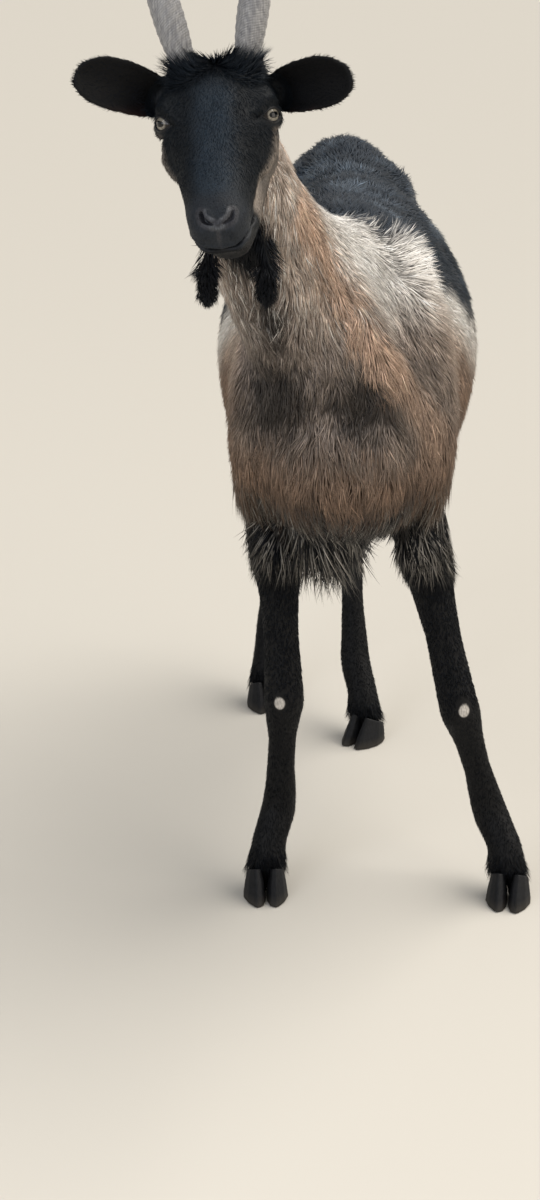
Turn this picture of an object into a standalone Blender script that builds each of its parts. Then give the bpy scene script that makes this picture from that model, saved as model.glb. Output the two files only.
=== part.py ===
"""A still, life-size model of a young horned mountain goat standing on its four feet.

The goat faces -Y and its left side is +X, with +Z up, in metres. The origin is on the
floor, below the middle of its box. The body is built whole, from oval lofts that are
fused, and is then parted by thin cuts into the pieces that a person would name.
"""
import math

import bmesh
import bpy
import numpy as np
from mathutils import Matrix, Vector

# ---------------------------------------------------------------- driving sizes
GAP = 0.0003             # left between pieces that touch
FUSE_VOXEL = 0.0040      # grid that fuses the lofts of the body
SMOOTH_PASSES = 5
TRUNK_PASSES = 40        # more on the trunk and neck, whose forms run into each other
HEAD_TRIANGLES = 1450    # left in each region of the fused body
LEG_TRIANGLES = 1250
TRUNK_TRIANGLES = 1100
BODY_TRIANGLES = 3500    # left in all, once the seams of the regions are thinned too
LEG_TOP = 0.40

EYE_MIDDLE = Vector((-0.103, -0.408, 0.815))   # midway between the eyes
HEAD_YAW, HEAD_PITCH, HEAD_ROLL = 1.2, 31.0, -6.0
EYE_RADIUS = 0.0122
EYE_PLACE = Vector((0.0374, -0.0038, 0.0062))   # left eye's centre, in the head's frame

HORN_LENGTH = 0.215
HORN_RADIUS = 0.0125
HORN_RINGS = 7
EAR_LENGTH = 0.095
EAR_WIDTH = 0.048
EAR_THICK = 0.0036
EAR_WIDEST = 0.55        # share of its length at which an ear is widest
CLAW_LENGTH = 0.050
CLAW_WIDTH = 0.0222
CORONET_HEIGHT = 0.028   # of the hoof's top edge, at the middle of the foot
CORONET_TILT = 22.0      # the hoof's top edge drops towards the heel by this
CLEFT = 0.0020           # between the two claws of a hoof
CLAW_SPLAY = 5.0         # each claw's tip turns away from the other by this
CLAW_LEVELS = 3
CLAW_SIDES = 12
EAR_STEPS = 9
EAR_ACROSS = 6
EAR_CUT = 0.026          # from an ear's root to the cut that parts it from the head
EAR_ROOT = Vector((0.040, 0.043, -0.011))      # in the head's frame
EAR_OPEN_DOWN = 8.0
EAR_RAISED = {1: 19.0, -1: 23.0}
EAR_FORWARD = {1: 42.0, -1: 32.0}              # the left ear is turned further forward
HORN_LEAN, HORN_SWEEP, HORN_SPLAY = 30.0, 55.0, 13.0
WATTLES = {"left": (-0.067, -0.341, 0.672), "right": (-0.117, -0.341, 0.672)}
WATTLE_MIDDLE = -0.092

# Every row of these tables is one oval section: its middle x, y, z, then its half width
# and how far it reaches up (or forward, on a leg) and down (or back) from the middle.
TRUNK = [
    (-0.004, -0.240, 0.552, 0.050, 0.060, 0.074),  # breast
    (-0.002, -0.210, 0.532, 0.078, 0.105, 0.114),  # point of the shoulder
    (0.000, -0.165, 0.522, 0.094, 0.156, 0.138),   # shoulder blades
    (0.000, -0.100, 0.518, 0.106, 0.173, 0.146),   # withers and brisket
    (0.002, -0.010, 0.516, 0.125, 0.168, 0.157),   # ribs behind the elbow
    (0.005, 0.070, 0.514, 0.132, 0.170, 0.156),    # widest of the barrel
    (0.006, 0.145, 0.524, 0.118, 0.164, 0.142),    # paunch
    (0.003, 0.220, 0.553, 0.090, 0.139, 0.108),    # flank and hip bones
    (0.000, 0.290, 0.578, 0.082, 0.115, 0.094),    # croup
    (0.000, 0.355, 0.580, 0.068, 0.090, 0.082),    # thurls
    (0.000, 0.402, 0.575, 0.048, 0.060, 0.064),    # pin bones
]
NECK = [
    (0.000, -0.060, 0.560, 0.072, 0.105, 0.130),   # inside the shoulders
    (-0.016, -0.140, 0.602, 0.074, 0.086, 0.128),
    (-0.053, -0.205, 0.655, 0.056, 0.064, 0.098),
    (-0.080, -0.258, 0.712, 0.049, 0.052, 0.070),
    (-0.096, -0.300, 0.765, 0.044, 0.047, 0.058),  # throat
    (-0.104, -0.335, 0.805, 0.041, 0.040, 0.052),
]
BREAST = [
    (-0.052, -0.212, 0.668, 0.044, 0.036, 0.050),  # foot of the neck
    (-0.022, -0.220, 0.600, 0.060, 0.046, 0.060),
    (-0.004, -0.220, 0.530, 0.072, 0.048, 0.060),
    (0.000, -0.194, 0.460, 0.062, 0.042, 0.058),
    (0.000, -0.158, 0.416, 0.044, 0.030, 0.046),   # brisket
]
TAIL = [
    (0.000, 0.385, 0.632, 0.023, 0.018, 0.020),
    (0.000, 0.422, 0.645, 0.021, 0.014, 0.017),
    (0.001, 0.456, 0.638, 0.020, 0.013, 0.015),
    (0.003, 0.478, 0.604, 0.019, 0.012, 0.013),
    (0.005, 0.487, 0.560, 0.013, 0.009, 0.009),
]
# Paired parts are given for the left side, and mirrored in x for the right.
SHOULDER = [
    (0.046, -0.105, 0.650, 0.026, 0.045, 0.050),   # top of the blade
    (0.064, -0.135, 0.580, 0.034, 0.062, 0.070),
    (0.072, -0.170, 0.510, 0.036, 0.055, 0.075),   # point of the shoulder
    (0.070, -0.150, 0.455, 0.036, 0.046, 0.068),
    (0.066, -0.125, 0.415, 0.031, 0.036, 0.044),   # elbow
]
UDDER = [
    (0.000, 0.215, 0.425, 0.040, 0.035, 0.026),
    (0.000, 0.265, 0.430, 0.042, 0.035, 0.034),
]

# Head, in its own frame: -Y along the face to the nose, +Z out of the forehead, and the
# middle between the eyes at 0.
SKULL = [
    (0.000, 0.078, -0.008, 0.031, 0.018, 0.034),   # back of the skull
    (0.000, 0.058, -0.004, 0.037, 0.027, 0.036),   # poll
    (0.000, 0.030, -0.002, 0.041, 0.036, 0.036),   # forehead
    (0.000, 0.000, -0.001, 0.042, 0.036, 0.036),   # between the eyes
    (0.000, -0.030, -0.006, 0.036, 0.032, 0.030),
    (0.000, -0.060, -0.010, 0.0302, 0.028, 0.025),  # nasal bridge
    (0.000, -0.088, -0.013, 0.0255, 0.026, 0.022),
    (0.000, -0.107, -0.014, 0.0232, 0.023, 0.021),  # nostrils
    (0.000, -0.118, -0.015, 0.0200, 0.018, 0.018),  # nose
]
JAW = [
    (0.000, 0.060, -0.038, 0.034, 0.026, 0.026),   # throat
    (0.001, 0.028, -0.042, 0.041, 0.030, 0.034),   # angle of the jaw
    (0.003, -0.008, -0.041, 0.0370, 0.028, 0.030),
    (0.005, -0.045, -0.038, 0.0300, 0.022, 0.023),
    (0.006, -0.080, -0.036, 0.0250, 0.016, 0.018),
    (0.006, -0.106, -0.036, 0.0185, 0.012, 0.015),  # chin, slid to the left in chewing
]


# ---------------------------------------------------------------- shaping helpers
def eased(rows, steps):
    """More rows, on a smooth curve through the given ones."""
    rows = np.array(rows, dtype=float)
    padded = np.vstack([2 * rows[0] - rows[1], rows, 2 * rows[-1] - rows[-2]])
    result = []
    for before, start, end, after in zip(padded, padded[1:], padded[2:], padded[3:]):
        for step in range(steps):
            t = step / steps
            result.append(0.5 * (2 * start + (end - before) * t
                                 + (2 * before - 5 * start + 4 * end - after) * t ** 2
                                 + (3 * start - before - 3 * end + after) * t ** 3))
    result.append(rows[-1])
    return np.array(result)


def ring(middle, across, up, half, reach_up, reach_down, sides, squareness):
    """Corners of an oval section, boxier above and below where its squareness is over 2."""
    corners = []
    for side in range(sides):
        angle = 2 * math.pi * side / sides
        c, s = math.cos(angle), math.sin(angle)
        power = 2 / squareness[0 if s > 0 else 1]
        x = math.copysign(abs(c) ** power, c) * half
        y = math.copysign(abs(s) ** power, s) * (reach_up if s > 0 else reach_down)
        corners.append(middle + across * x + up * y)
    return corners


def loft(name, rows, upward=(0, 0, 1), across=(1, 0, 0), sides=20, steps=4, dome=(0.5, 0.5),
         squareness=(2.2, 2.2)):
    """A closed tube through oval sections, with a dome on each end."""
    table = eased(rows, steps)
    middles = [Vector(row[:3]) for row in table]
    mesh = bmesh.new()
    rings = []
    last = len(middles) - 1
    for i, (middle, row) in enumerate(zip(middles, table)):
        along = (middles[min(i + 1, last)] - middles[max(i - 1, 0)]).normalized()
        side = (Vector(across) - along * along.dot(Vector(across))).normalized()
        up = along.cross(side)
        if up.dot(Vector(upward)) < 0:
            up.negate()
        half, high, low = row[3:6]
        domes = []
        if i in (0, last):
            outward = -along if i == 0 else along
            length = dome[0 if i == 0 else 1] * (high + low) / 2
            domes = [(outward * length * math.sin(turn), math.cos(turn))
                     for turn in (math.radians(30), math.radians(58), math.radians(80))]
        shapes = [(Vector(), 1.0)] + domes
        if i == 0:
            shapes.reverse()
        for shift, shrink in shapes:
            rings.append(ring(middle + shift, side, up, half * shrink, high * shrink,
                              low * shrink, sides, squareness))
    loops = [[mesh.verts.new(corner) for corner in corners] for corners in rings]
    for near, far in zip(loops, loops[1:]):
        for k in range(sides):
            j = (k + 1) % sides
            mesh.faces.new((near[k], near[j], far[j], far[k]))
    mesh.faces.new(loops[0])
    mesh.faces.new(loops[-1])
    return finished(name, mesh)


def finished(name, mesh):
    """An object from a bmesh, with its faces turned outwards."""
    bmesh.ops.recalc_face_normals(mesh, faces=mesh.faces)
    data = bpy.data.meshes.new(name)
    mesh.to_mesh(data)
    mesh.free()
    item = bpy.data.objects.new(name, data)
    bpy.context.scene.collection.objects.link(item)
    return item


def ball(name, middle, radii, turn=(0, 0, 0), rings=10):
    """A closed egg shape."""
    mesh = bmesh.new()
    bmesh.ops.create_uvsphere(mesh, u_segments=2 * rings, v_segments=rings, radius=1)
    shape = Matrix.LocRotScale(Vector(middle), turned(turn), Vector(radii))
    bmesh.ops.transform(mesh, matrix=shape, verts=mesh.verts)
    return finished(name, mesh)


def turned(degrees):
    """Rotation matrix from x, y, z turns in degrees."""
    x, y, z = (math.radians(value) for value in degrees)
    return Matrix.Rotation(z, 3, "Z") @ Matrix.Rotation(x, 3, "X") @ Matrix.Rotation(y, 3, "Y")


HEAD_FRAME = Matrix.Translation(EYE_MIDDLE) @ turned((HEAD_PITCH, HEAD_ROLL, HEAD_YAW)).to_4x4()


def in_head(item):
    """Moves a shape made in the head's frame to its place on the goat."""
    item.data.transform(HEAD_FRAME)
    return item


def mirrored(rows, side):
    """Rows for one side of the body, from the left side's."""
    return [(side * row[0], *row[1:]) for row in rows]


def evaluated(item, name):
    """A plain mesh object with the modifiers of another applied, which it replaces."""
    graph = bpy.context.evaluated_depsgraph_get()
    data = bpy.data.meshes.new_from_object(item.evaluated_get(graph))
    result = bpy.data.objects.new(name, data)
    bpy.context.scene.collection.objects.link(result)
    bpy.data.objects.remove(item)
    return result


def joined(items, name):
    """One object that holds the meshes of several."""
    mesh = bmesh.new()
    for item in items:
        mesh.from_mesh(item.data)
        bpy.data.objects.remove(item)
    return finished(name, mesh)


def boolean(item, other, operation, name):
    """The exact union or difference of two objects, which it replaces."""
    cut = item.modifiers.new("cut", "BOOLEAN")
    cut.operation = operation
    cut.solver = "EXACT"
    cut.object = other
    result = evaluated(item, name)
    bpy.data.objects.remove(other)
    return result


def box(name, middle, size, turn=(0, 0, 0)):
    """A box, its sides turned by x, y and z degrees."""
    mesh = bmesh.new()
    bmesh.ops.create_cube(mesh, size=1)
    shape = Matrix.LocRotScale(Vector(middle), turned(turn), Vector(size))
    bmesh.ops.transform(mesh, matrix=shape, verts=mesh.verts)
    return finished(name, mesh)


# ---------------------------------------------------------------- legs in their stance
def foreleg(bend, fetlock_x, foot_x, foot_y):
    """Sections from the elbow to the foot, for a leg on the side of +x."""
    elbow = Vector((0.066, -0.125, 0.415))
    knee = Vector((bend[0], -0.150, bend[1]))
    fetlock = Vector((fetlock_x, foot_y + 0.036, 0.083))
    return [
        (*elbow, 0.031, 0.036, 0.044),
        (*elbow.lerp(knee, 0.33), 0.0255, 0.0275, 0.0325),
        (*elbow.lerp(knee, 0.70), 0.0200, 0.0200, 0.0210),   # above the knee
        (*knee, 0.0222, 0.0225, 0.0190),
        (*knee.lerp(fetlock, 0.18), 0.0205, 0.0190, 0.0180),
        (*knee.lerp(fetlock, 0.36), 0.0166, 0.0150, 0.0172),
        (*knee.lerp(fetlock, 0.64), 0.0156, 0.0138, 0.0160),  # cannon
        (*fetlock, 0.0195, 0.0175, 0.0200),
        (foot_x - 0.25 * (foot_x - fetlock_x), foot_y + 0.020, 0.052, 0.0178, 0.0170, 0.0168),
        (foot_x, foot_y + 0.010, 0.022, 0.0190, 0.0185, 0.0180),
    ]


def hindleg(bend, fetlock_x, foot_x, foot_y):
    """Sections from the thigh to the foot, for a leg on the side of +x."""
    hock = Vector((bend[0], foot_y + 0.118, bend[1]))
    stifle = Vector((0.058, 0.275, 0.422))
    fetlock = Vector((fetlock_x, foot_y + 0.044, 0.085))
    return [
        (0.052, 0.310, 0.610, 0.030, 0.085, 0.085),
        (0.060, 0.305, 0.545, 0.036, 0.100, 0.098),
        (0.061, 0.298, 0.480, 0.037, 0.092, 0.092),
        (*stifle, 0.034, 0.066, 0.076),
        (*stifle.lerp(hock, 0.42), 0.0275, 0.0410, 0.0480),   # gaskin
        (*stifle.lerp(hock, 0.78), 0.0205, 0.0250, 0.0310),
        (*hock, 0.0195, 0.0220, 0.0290),
        (*hock.lerp(fetlock, 0.27), 0.0165, 0.0175, 0.0190),
        (*hock.lerp(fetlock, 0.65), 0.0145, 0.0140, 0.0165),  # cannon
        (*fetlock, 0.0190, 0.0175, 0.0200),
        (foot_x - 0.25 * (foot_x - fetlock_x), foot_y + 0.022, 0.052, 0.0178, 0.0170, 0.0168),
        (foot_x, foot_y + 0.010, 0.022, 0.0190, 0.0185, 0.0180),
    ]


# The outlines, in x and z, of the prisms that take the left fore and hind leg off the body.
FORELEG_REGION = [(0.012, -0.02), (0.012, 0.350), (0.040, 0.372), (0.120, 0.478),
                  (0.300, 0.478), (0.300, -0.02)]
HINDLEG_REGION = [(-0.014, -0.02), (-0.014, 0.320), (0.022, 0.395), (0.034, 0.452),
                  (0.115, 0.560), (0.300, 0.560), (0.300, -0.02)]

# Each leg's side, how far out and how high it bends at the knee or hock, how far out its
# fetlock and its hoof are, where its hoof stands in y, and how many degrees its toes turn.
STANCE = {
    "foreleg_left": {"side": 1, "bend": (0.117, 0.205), "fetlock_x": 0.152, "foot_x": 0.172,
                     "foot_y": -0.172, "turn": 8},
    "foreleg_right": {"side": -1, "bend": (0.055, 0.215), "fetlock_x": 0.060, "foot_x": 0.073,
                      "foot_y": -0.167, "turn": 4},
    "hindleg_left": {"side": 1, "bend": (0.010, 0.262), "fetlock_x": 0.019, "foot_x": 0.031,
                     "foot_y": 0.222, "turn": 34},
    "hindleg_right": {"side": -1, "bend": (0.074, 0.262), "fetlock_x": 0.082, "foot_x": 0.087,
                      "foot_y": 0.324, "turn": 8},
}


def leg_rows(name):
    """The sections of one leg, on its own side."""
    stance = STANCE[name]
    build = foreleg if name.startswith("fore") else hindleg
    rows = build(stance["bend"], stance["fetlock_x"], stance["foot_x"], stance["foot_y"])
    return mirrored(rows, stance["side"])


# ---------------------------------------------------------------- the fused body
def body_lofts():
    """Every rounded form of the body, overlapping, as separate closed shapes."""
    forms = [loft("trunk", TRUNK, sides=32, steps=5, dome=(0.20, 0.45),
                  squareness=(1.8, 2.2)),
             loft("neck", NECK, sides=24),
             loft("breast", BREAST, upward=(0, -1, 0), sides=24),
             loft("tail", TAIL, sides=16, dome=(0.2, 1.2)),
             loft("udder", UDDER, sides=16, dome=(0.9, 0.9))]
    for side in (1, -1):
        forms.append(loft("shoulder", mirrored(SHOULDER, side), upward=(0, -1, 0)))
        forms.append(ball("hip", (side * 0.052, 0.245, 0.640), (0.024, 0.040, 0.022)))
    for name in STANCE:
        forms.append(loft(name, leg_rows(name), upward=(0, -1, 0), squareness=(2, 2)))
        forms.append(hock_point(name) if name.startswith("hind") else knee_cap(name))
        forms.extend(dewclaws(name))
    return forms + head_forms()


def knee_cap(name):
    """The flat front of the knee."""
    x, y, z = leg_rows(name)[3][:3]
    return ball("knee_cap", (x, y - 0.007, z - 0.003), (0.0200, 0.0175, 0.026))


def hock_point(name):
    """The heel bone that stands up behind the hock, with the tendon above it."""
    gaskin, above, hock = (Vector(row[:3]) for row in leg_rows(name)[4:7])
    rows = [(*(gaskin + Vector((0, 0.028, 0))), 0.0100, 0.014, 0.010),
            (*(above + Vector((0, 0.021, 0.010))), 0.0100, 0.014, 0.010),
            (*(hock + Vector((0, 0.022, 0.020))), 0.0120, 0.016, 0.010),
            (*(hock + Vector((0, 0.010, -0.018))), 0.0125, 0.016, 0.012)]
    return loft("hock_point", rows, upward=(0, -1, 0), sides=14)


def dewclaws(name):
    """Two small horny knobs behind the fetlock."""
    x, y = leg_rows(name)[-3][:2]
    return [ball("dewclaw", (x + offset, y + 0.017, 0.066), (0.0065, 0.0085, 0.0105), rings=6)
            for offset in (-0.0095, 0.0095)]


def head_forms():
    """The forms of the head, made in its own frame and then set in place."""
    forms = [loft("skull", SKULL, sides=28, dome=(0.4, 0.35), squareness=(2.3, 2.3)),
             loft("jaw", JAW, sides=24, dome=(0.6, 0.6))]
    for side in (1, -1):
        forms.append(ball("brow", (side * 0.0360, 0.005, 0.0125), (0.0146, 0.021, 0.0165)))
        forms.append(ball("cheekbone", (side * 0.0325, -0.018, -0.0115), (0.0125, 0.034, 0.0145)))
        forms.append(ball("cheek", (side * 0.032, 0.016, -0.036), (0.0140, 0.036, 0.031)))
        forms.append(ball("lip", (side * 0.0100 + 0.003, -0.106, -0.026),
                          (0.0120, 0.018, 0.0115)))
        forms.append(ball("nostril_wing", (side * 0.0115, -0.114, -0.009),
                          (0.0085, 0.012, 0.010)))
        root = [(side * 0.030, EAR_ROOT.y - 0.004, EAR_ROOT.z, 0.016, 0.016, 0.018),
                (side * 0.050, EAR_ROOT.y - 0.002, EAR_ROOT.z + 0.004, 0.0125, 0.014, 0.014)]
        forms.append(loft("ear_root", root, across=(0, 1, 0), sides=14, dome=(0.5, 0.3)))
        boss = [(side * 0.022, 0.028, 0.012, 0.017, 0.017, 0.017),
                (side * 0.0265, 0.040, 0.030, 0.0155, 0.0155, 0.0155)]
        forms.append(loft("horn_boss", boss, upward=(0, -1, 0), sides=14, dome=(0.5, 0.3)))
    for form in forms:
        in_head(form)
    return forms


def thinned(body, in_region, keep):
    """The body with about this many triangles left in one region, the rest untouched."""
    body.vertex_groups.clear()
    group = body.vertex_groups.new(name="region")
    inside = {vertex.index for vertex in body.data.vertices if in_region(vertex.co)}
    group.add(list(inside), 1.0, "REPLACE")
    total = sum(len(face.vertices) - 2 for face in body.data.polygons)
    here = sum(len(face.vertices) - 2 for face in body.data.polygons
               if inside.issuperset(face.vertices))
    thin = body.modifiers.new("thin", "DECIMATE")
    thin.ratio = (total - here + keep) / total
    thin.vertex_group = "region"
    return evaluated(body, "body")


def in_head_region(place):
    """True for a point of the head."""
    near = HEAD_FRAME.inverted() @ place
    return near.length < 0.145 and near.y < 0.085


def fused_body():
    """One closed skin round all the forms, smoothed, and thinned least on the head."""
    body = joined(body_lofts(), "body")
    fuse = body.modifiers.new("fuse", "REMESH")
    fuse.mode = "VOXEL"
    fuse.voxel_size = FUSE_VOXEL
    smooth = body.modifiers.new("smooth", "SMOOTH")
    smooth.factor = 0.5
    smooth.iterations = SMOOTH_PASSES
    body = evaluated(body, "body")
    soft = body.vertex_groups.new(name="soft")
    for vertex in body.data.vertices:
        weight = min(1.0, max(0.0, (vertex.co.z - 0.36) / 0.08))
        if weight > 0 and not in_head_region(vertex.co) and vertex.co.y < 0.42:
            soft.add([vertex.index], weight, "REPLACE")
    settle = body.modifiers.new("settle", "SMOOTH")
    settle.factor = 0.5
    settle.iterations = TRUNK_PASSES
    settle.vertex_group = "soft"
    body = evaluated(body, "body")
    body = thinned(body, in_head_region, HEAD_TRIANGLES)
    body = thinned(body, lambda place: place.z < LEG_TOP, LEG_TRIANGLES)
    body = thinned(body, lambda place: not in_head_region(place) and place.z >= LEG_TOP,
                   TRUNK_TRIANGLES)
    return thinned(body, lambda place: True, BODY_TRIANGLES)


# ---------------------------------------------------------------- ears and wattles
def ear_frame(side):
    """Where an ear grows: its +X runs out along the ear, and -Y is its open front."""
    turn = turned((EAR_OPEN_DOWN, -side * EAR_RAISED[side], -side * EAR_FORWARD[side]))
    place = HEAD_FRAME @ Vector((side * EAR_ROOT.x, EAR_ROOT.y, EAR_ROOT.z))
    return Matrix.Translation(place) @ turn.to_4x4() @ Matrix.Diagonal((side, 1, 1, 1))


def ear(side):
    """A cupped leaf: almost a tube at its root, and opening out towards its tip."""
    mesh = bmesh.new()
    grid = []
    for i in range(EAR_STEPS + 1):
        s = 1 - (1 - i / EAR_STEPS) ** 1.6
        reach = 0.47 if s > EAR_WIDEST else 0.80
        half = EAR_WIDTH / 2 * math.sqrt(1 - abs((s - EAR_WIDEST) / reach) ** 2.5)
        curl = math.radians(210 - 155 * s ** 0.6)
        radius = 2 * half / curl
        row = []
        for k in range(EAR_ACROSS + 1):
            angle = (2 * k / EAR_ACROSS - 1) * curl / 2
            row.append(mesh.verts.new((EAR_LENGTH * s, -radius * (1 - math.cos(angle)),
                                       radius * math.sin(angle) - 0.006 * s ** 2)))
        grid.append(row)
    for low, high in zip(grid, grid[1:]):
        for k in range(EAR_ACROSS):
            mesh.faces.new((low[k], low[k + 1], high[k + 1], high[k]))
    item = finished("ear", mesh)
    wall = item.modifiers.new("wall", "SOLIDIFY")
    wall.thickness = EAR_THICK
    wall.offset = 0
    item = evaluated(item, "ear")
    item.data.transform(ear_frame(side))
    mesh = bmesh.new()
    mesh.from_mesh(item.data)
    bpy.data.objects.remove(item)
    return finished("ear", mesh)


def wattle(middle):
    """A hair-covered lobe of skin that hangs from the throat."""
    x, y, z = middle
    rows = [(x + (WATTLE_MIDDLE - x) * 0.2, y + 0.022, z + 0.040, 0.0075, 0.0075, 0.0075),
            (x, y + 0.008, z + 0.024, 0.0075, 0.0075, 0.0075),
            (x, y, z, 0.0095, 0.0090, 0.0090),
            (x, y, z - 0.018, 0.0090, 0.0085, 0.0085)]
    return loft("wattle", rows, upward=(0, -1, 0), sides=10, steps=2, dome=(0.5, 1.0))


# ---------------------------------------------------------------- parting the body
def slab(middle, normal, wide=0.09):
    """A square cut of one gap's thickness across a limb."""
    turn = Vector(normal).to_track_quat("Z", "Y").to_matrix()
    mesh = bmesh.new()
    bmesh.ops.create_cube(mesh, size=1)
    shape = Matrix.LocRotScale(Vector(middle), turn, Vector((wide, wide, GAP)))
    bmesh.ops.transform(mesh, matrix=shape, verts=mesh.verts)
    return finished("slab", mesh)


def prism(outline, side, front, rear, shrink=0.0):
    """An outline in x and z, drawn for the left side, carried from front to rear."""
    mesh = bmesh.new()
    loops = [[mesh.verts.new((side * x, y, z)) for x, z in outline] for y in (front, rear)]
    count = len(outline)
    for k in range(count):
        j = (k + 1) % count
        mesh.faces.new((loops[0][k], loops[0][j], loops[1][j], loops[1][k]))
    mesh.faces.new(loops[0])
    mesh.faces.new(loops[1])
    bmesh.ops.recalc_face_normals(mesh, faces=mesh.faces)
    mesh.normal_update()
    moves = [(corner, corner.normal * corner.calc_shell_factor()) for corner in mesh.verts]
    for corner, move in moves:
        corner.co -= move * shrink
    return finished("prism", mesh)


def copied(item):
    """A copy of an object with its own mesh."""
    other = bpy.data.objects.new(item.name, item.data.copy())
    bpy.context.scene.collection.objects.link(other)
    return other


def loose_parts(item):
    """The separate closed bodies of one object, as objects."""
    bpy.ops.object.select_all(action="DESELECT")
    item.select_set(True)
    bpy.context.view_layer.objects.active = item
    bpy.ops.mesh.separate(type="LOOSE")
    return list(bpy.context.selected_objects)


def mean_place(item):
    """The mean of an object's corners."""
    return sum((vertex.co for vertex in item.data.vertices), Vector()) / len(item.data.vertices)


def leg_pieces(body, name):
    """One leg taken off the body, and parted at its knee or hock and at its fetlock."""
    side = STANCE[name]["side"]
    rows = leg_rows(name)
    if name.startswith("fore"):
        outline, front, rear = FORELEG_REGION, -0.225, -0.062
        joints = (3, 7)
    else:
        outline, front, rear = HINDLEG_REGION, 0.185, 0.60
        joints = (6, 9)
    leg = boolean(copied(body), prism(outline, side, front, rear, GAP), "INTERSECT", name)
    body = boolean(body, prism(outline, side, front, rear), "DIFFERENCE", "body")
    for joint in joints:
        along = Vector(rows[joint + 1][:3]) - Vector(rows[joint - 1][:3])
        leg = boolean(leg, slab(rows[joint][:3], along.normalized()), "DIFFERENCE", name)
    parts = sorted(loose_parts(leg), key=lambda item: -mean_place(item).z)
    return body, dict(zip((name + "_upper", name + "_lower", name + "_foot"), parts))


def cuts_and_labels():
    """The thin cuts of the trunk and head, and a point near the middle of each piece."""
    cuts = [slab((-0.099, -0.311, 0.780), (-0.20, -0.66, 0.74), 0.17),
            slab((-0.030, -0.170, 0.620), (-0.33, -0.66, 0.68), 0.36),
            slab((0.000, 0.447, 0.641), (0.0, 0.95, -0.30), 0.070)]
    labels = {"head": HEAD_FRAME @ Vector((0, -0.01, -0.01)), "neck": Vector((-0.06, -0.24, 0.69)),
              "trunk": Vector((0.0, 0.06, 0.55)), "tail": Vector((0.002, 0.475, 0.60))}
    for side, word in ((1, "left"), (-1, "right")):
        frame = ear_frame(side)
        cuts.append(slab(frame @ Vector((EAR_CUT, -0.006, 0)),
                         frame.to_3x3() @ Vector((1, 0, 0)), 0.050))
        labels["ear_" + word] = frame @ Vector((EAR_LENGTH * 0.55, 0, 0))
        wattle_x, wattle_y, wattle_z = WATTLES[word]
        cuts.append(slab((wattle_x, wattle_y + 0.004, wattle_z + 0.013), (0, -0.35, 0.94),
                         0.026))
        labels["wattle_" + word] = Vector(WATTLES[word]) - Vector((0, 0, 0.005))
    return cuts, labels


def coronet(name):
    """The frame of a hoof's top edge: +Z out of it, and -Y towards the toe."""
    stance = STANCE[name]
    turn = turned((-CORONET_TILT, 0, -stance["side"] * stance["turn"]))
    place = Vector((stance["side"] * stance["foot_x"], stance["foot_y"], CORONET_HEIGHT))
    return Matrix.Translation(place) @ turn.to_4x4()


def parted_body():
    """The named pieces of flesh, from one fused body."""
    body = fused_body()
    for side in (1, -1):
        body = boolean(body, ear(side), "UNION", "body")
    for middle in WATTLES.values():
        body = boolean(body, wattle(middle), "UNION", "body")
    pieces = {}
    for name in STANCE:
        body, leg = leg_pieces(body, name)
        below = box("below", (0, 0, GAP - 0.03), (0.09, 0.11, 0.06))
        below.data.transform(coronet(name))
        leg[name + "_foot"] = boolean(leg[name + "_foot"], below, "DIFFERENCE", name)
        pieces.update(leg)
    cuts, labels = cuts_and_labels()
    for cut in cuts:
        body = boolean(body, cut, "DIFFERENCE", "body")
    for item in loose_parts(body):
        middle = mean_place(item)
        name = min(labels, key=lambda label: (labels[label] - middle).length)
        pieces[name] = item
    return pieces


# ---------------------------------------------------------------- eyes, horns and hooves
def eye(side, extra=0.0):
    """An eyeball, or with extra radius the socket it sits in."""
    middle = HEAD_FRAME @ Vector((side * EYE_PLACE.x, EYE_PLACE.y, EYE_PLACE.z))
    return ball("eye", middle, [EYE_RADIUS + extra] * 3, rings=6)


def horn_rows(side, upto=1.0, extra=0.0):
    """Sections of a horn that rises from the crown and sweeps back as it goes."""
    count = 2 * HORN_RINGS
    place = Vector((side * 0.0255, 0.040, 0.030))
    rows = []
    for i in range(count + 1):
        t = i / count
        if t > upto:
            break
        lean = math.radians(HORN_LEAN + HORN_SWEEP * t)
        splay = math.radians(HORN_SPLAY)
        step = Vector((side * math.sin(splay), math.sin(lean) * math.cos(splay),
                       math.cos(lean) * math.cos(splay)))
        swell = 1.0 + (0.035 if i % 2 else -0.02) * (1 if 2 < i < count - 2 else 0)
        radius = HORN_RADIUS * (1 - t ** 1.6) ** 0.9 * swell * 0.97 + 0.0008 + extra
        rows.append((*place, radius * 0.92, radius * 1.12, radius * 1.02))
        place = place + step * HORN_LENGTH / count
    return rows


def horn(side, upto=1.0, extra=0.0):
    """A horn with its growth rings, or the root of one as a cutter for its socket."""
    item = loft("horn", horn_rows(side, upto, extra), upward=(0, -1, 0), sides=8, steps=1,
                dome=(0.1, 0.3))
    return in_head(item)


def claw_outline(half, up):
    """A claw's outline at a share of its height, round outside and flat in the cleft."""
    length = CLAW_LENGTH * (1 - 0.34 * up)
    width = CLAW_WIDTH * (1 - 0.16 * up)
    corners = []
    for k in range(CLAW_SIDES):
        angle = 2 * math.pi * k / CLAW_SIDES
        ahead = math.sin(angle)
        out = math.cos(angle) * half
        if out > 0:
            out *= 1 - 0.60 * max(ahead, 0) ** 2
        else:
            out = -abs(out) ** 0.4 * (1 - 0.35 * max(ahead, 0) ** 2)
        corners.append(Vector((half * ((width + CLEFT) / 2 + out * width / 2),
                               -ahead * length / 2 - 0.006 + 0.011 * up, 0)))
    return corners


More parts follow.
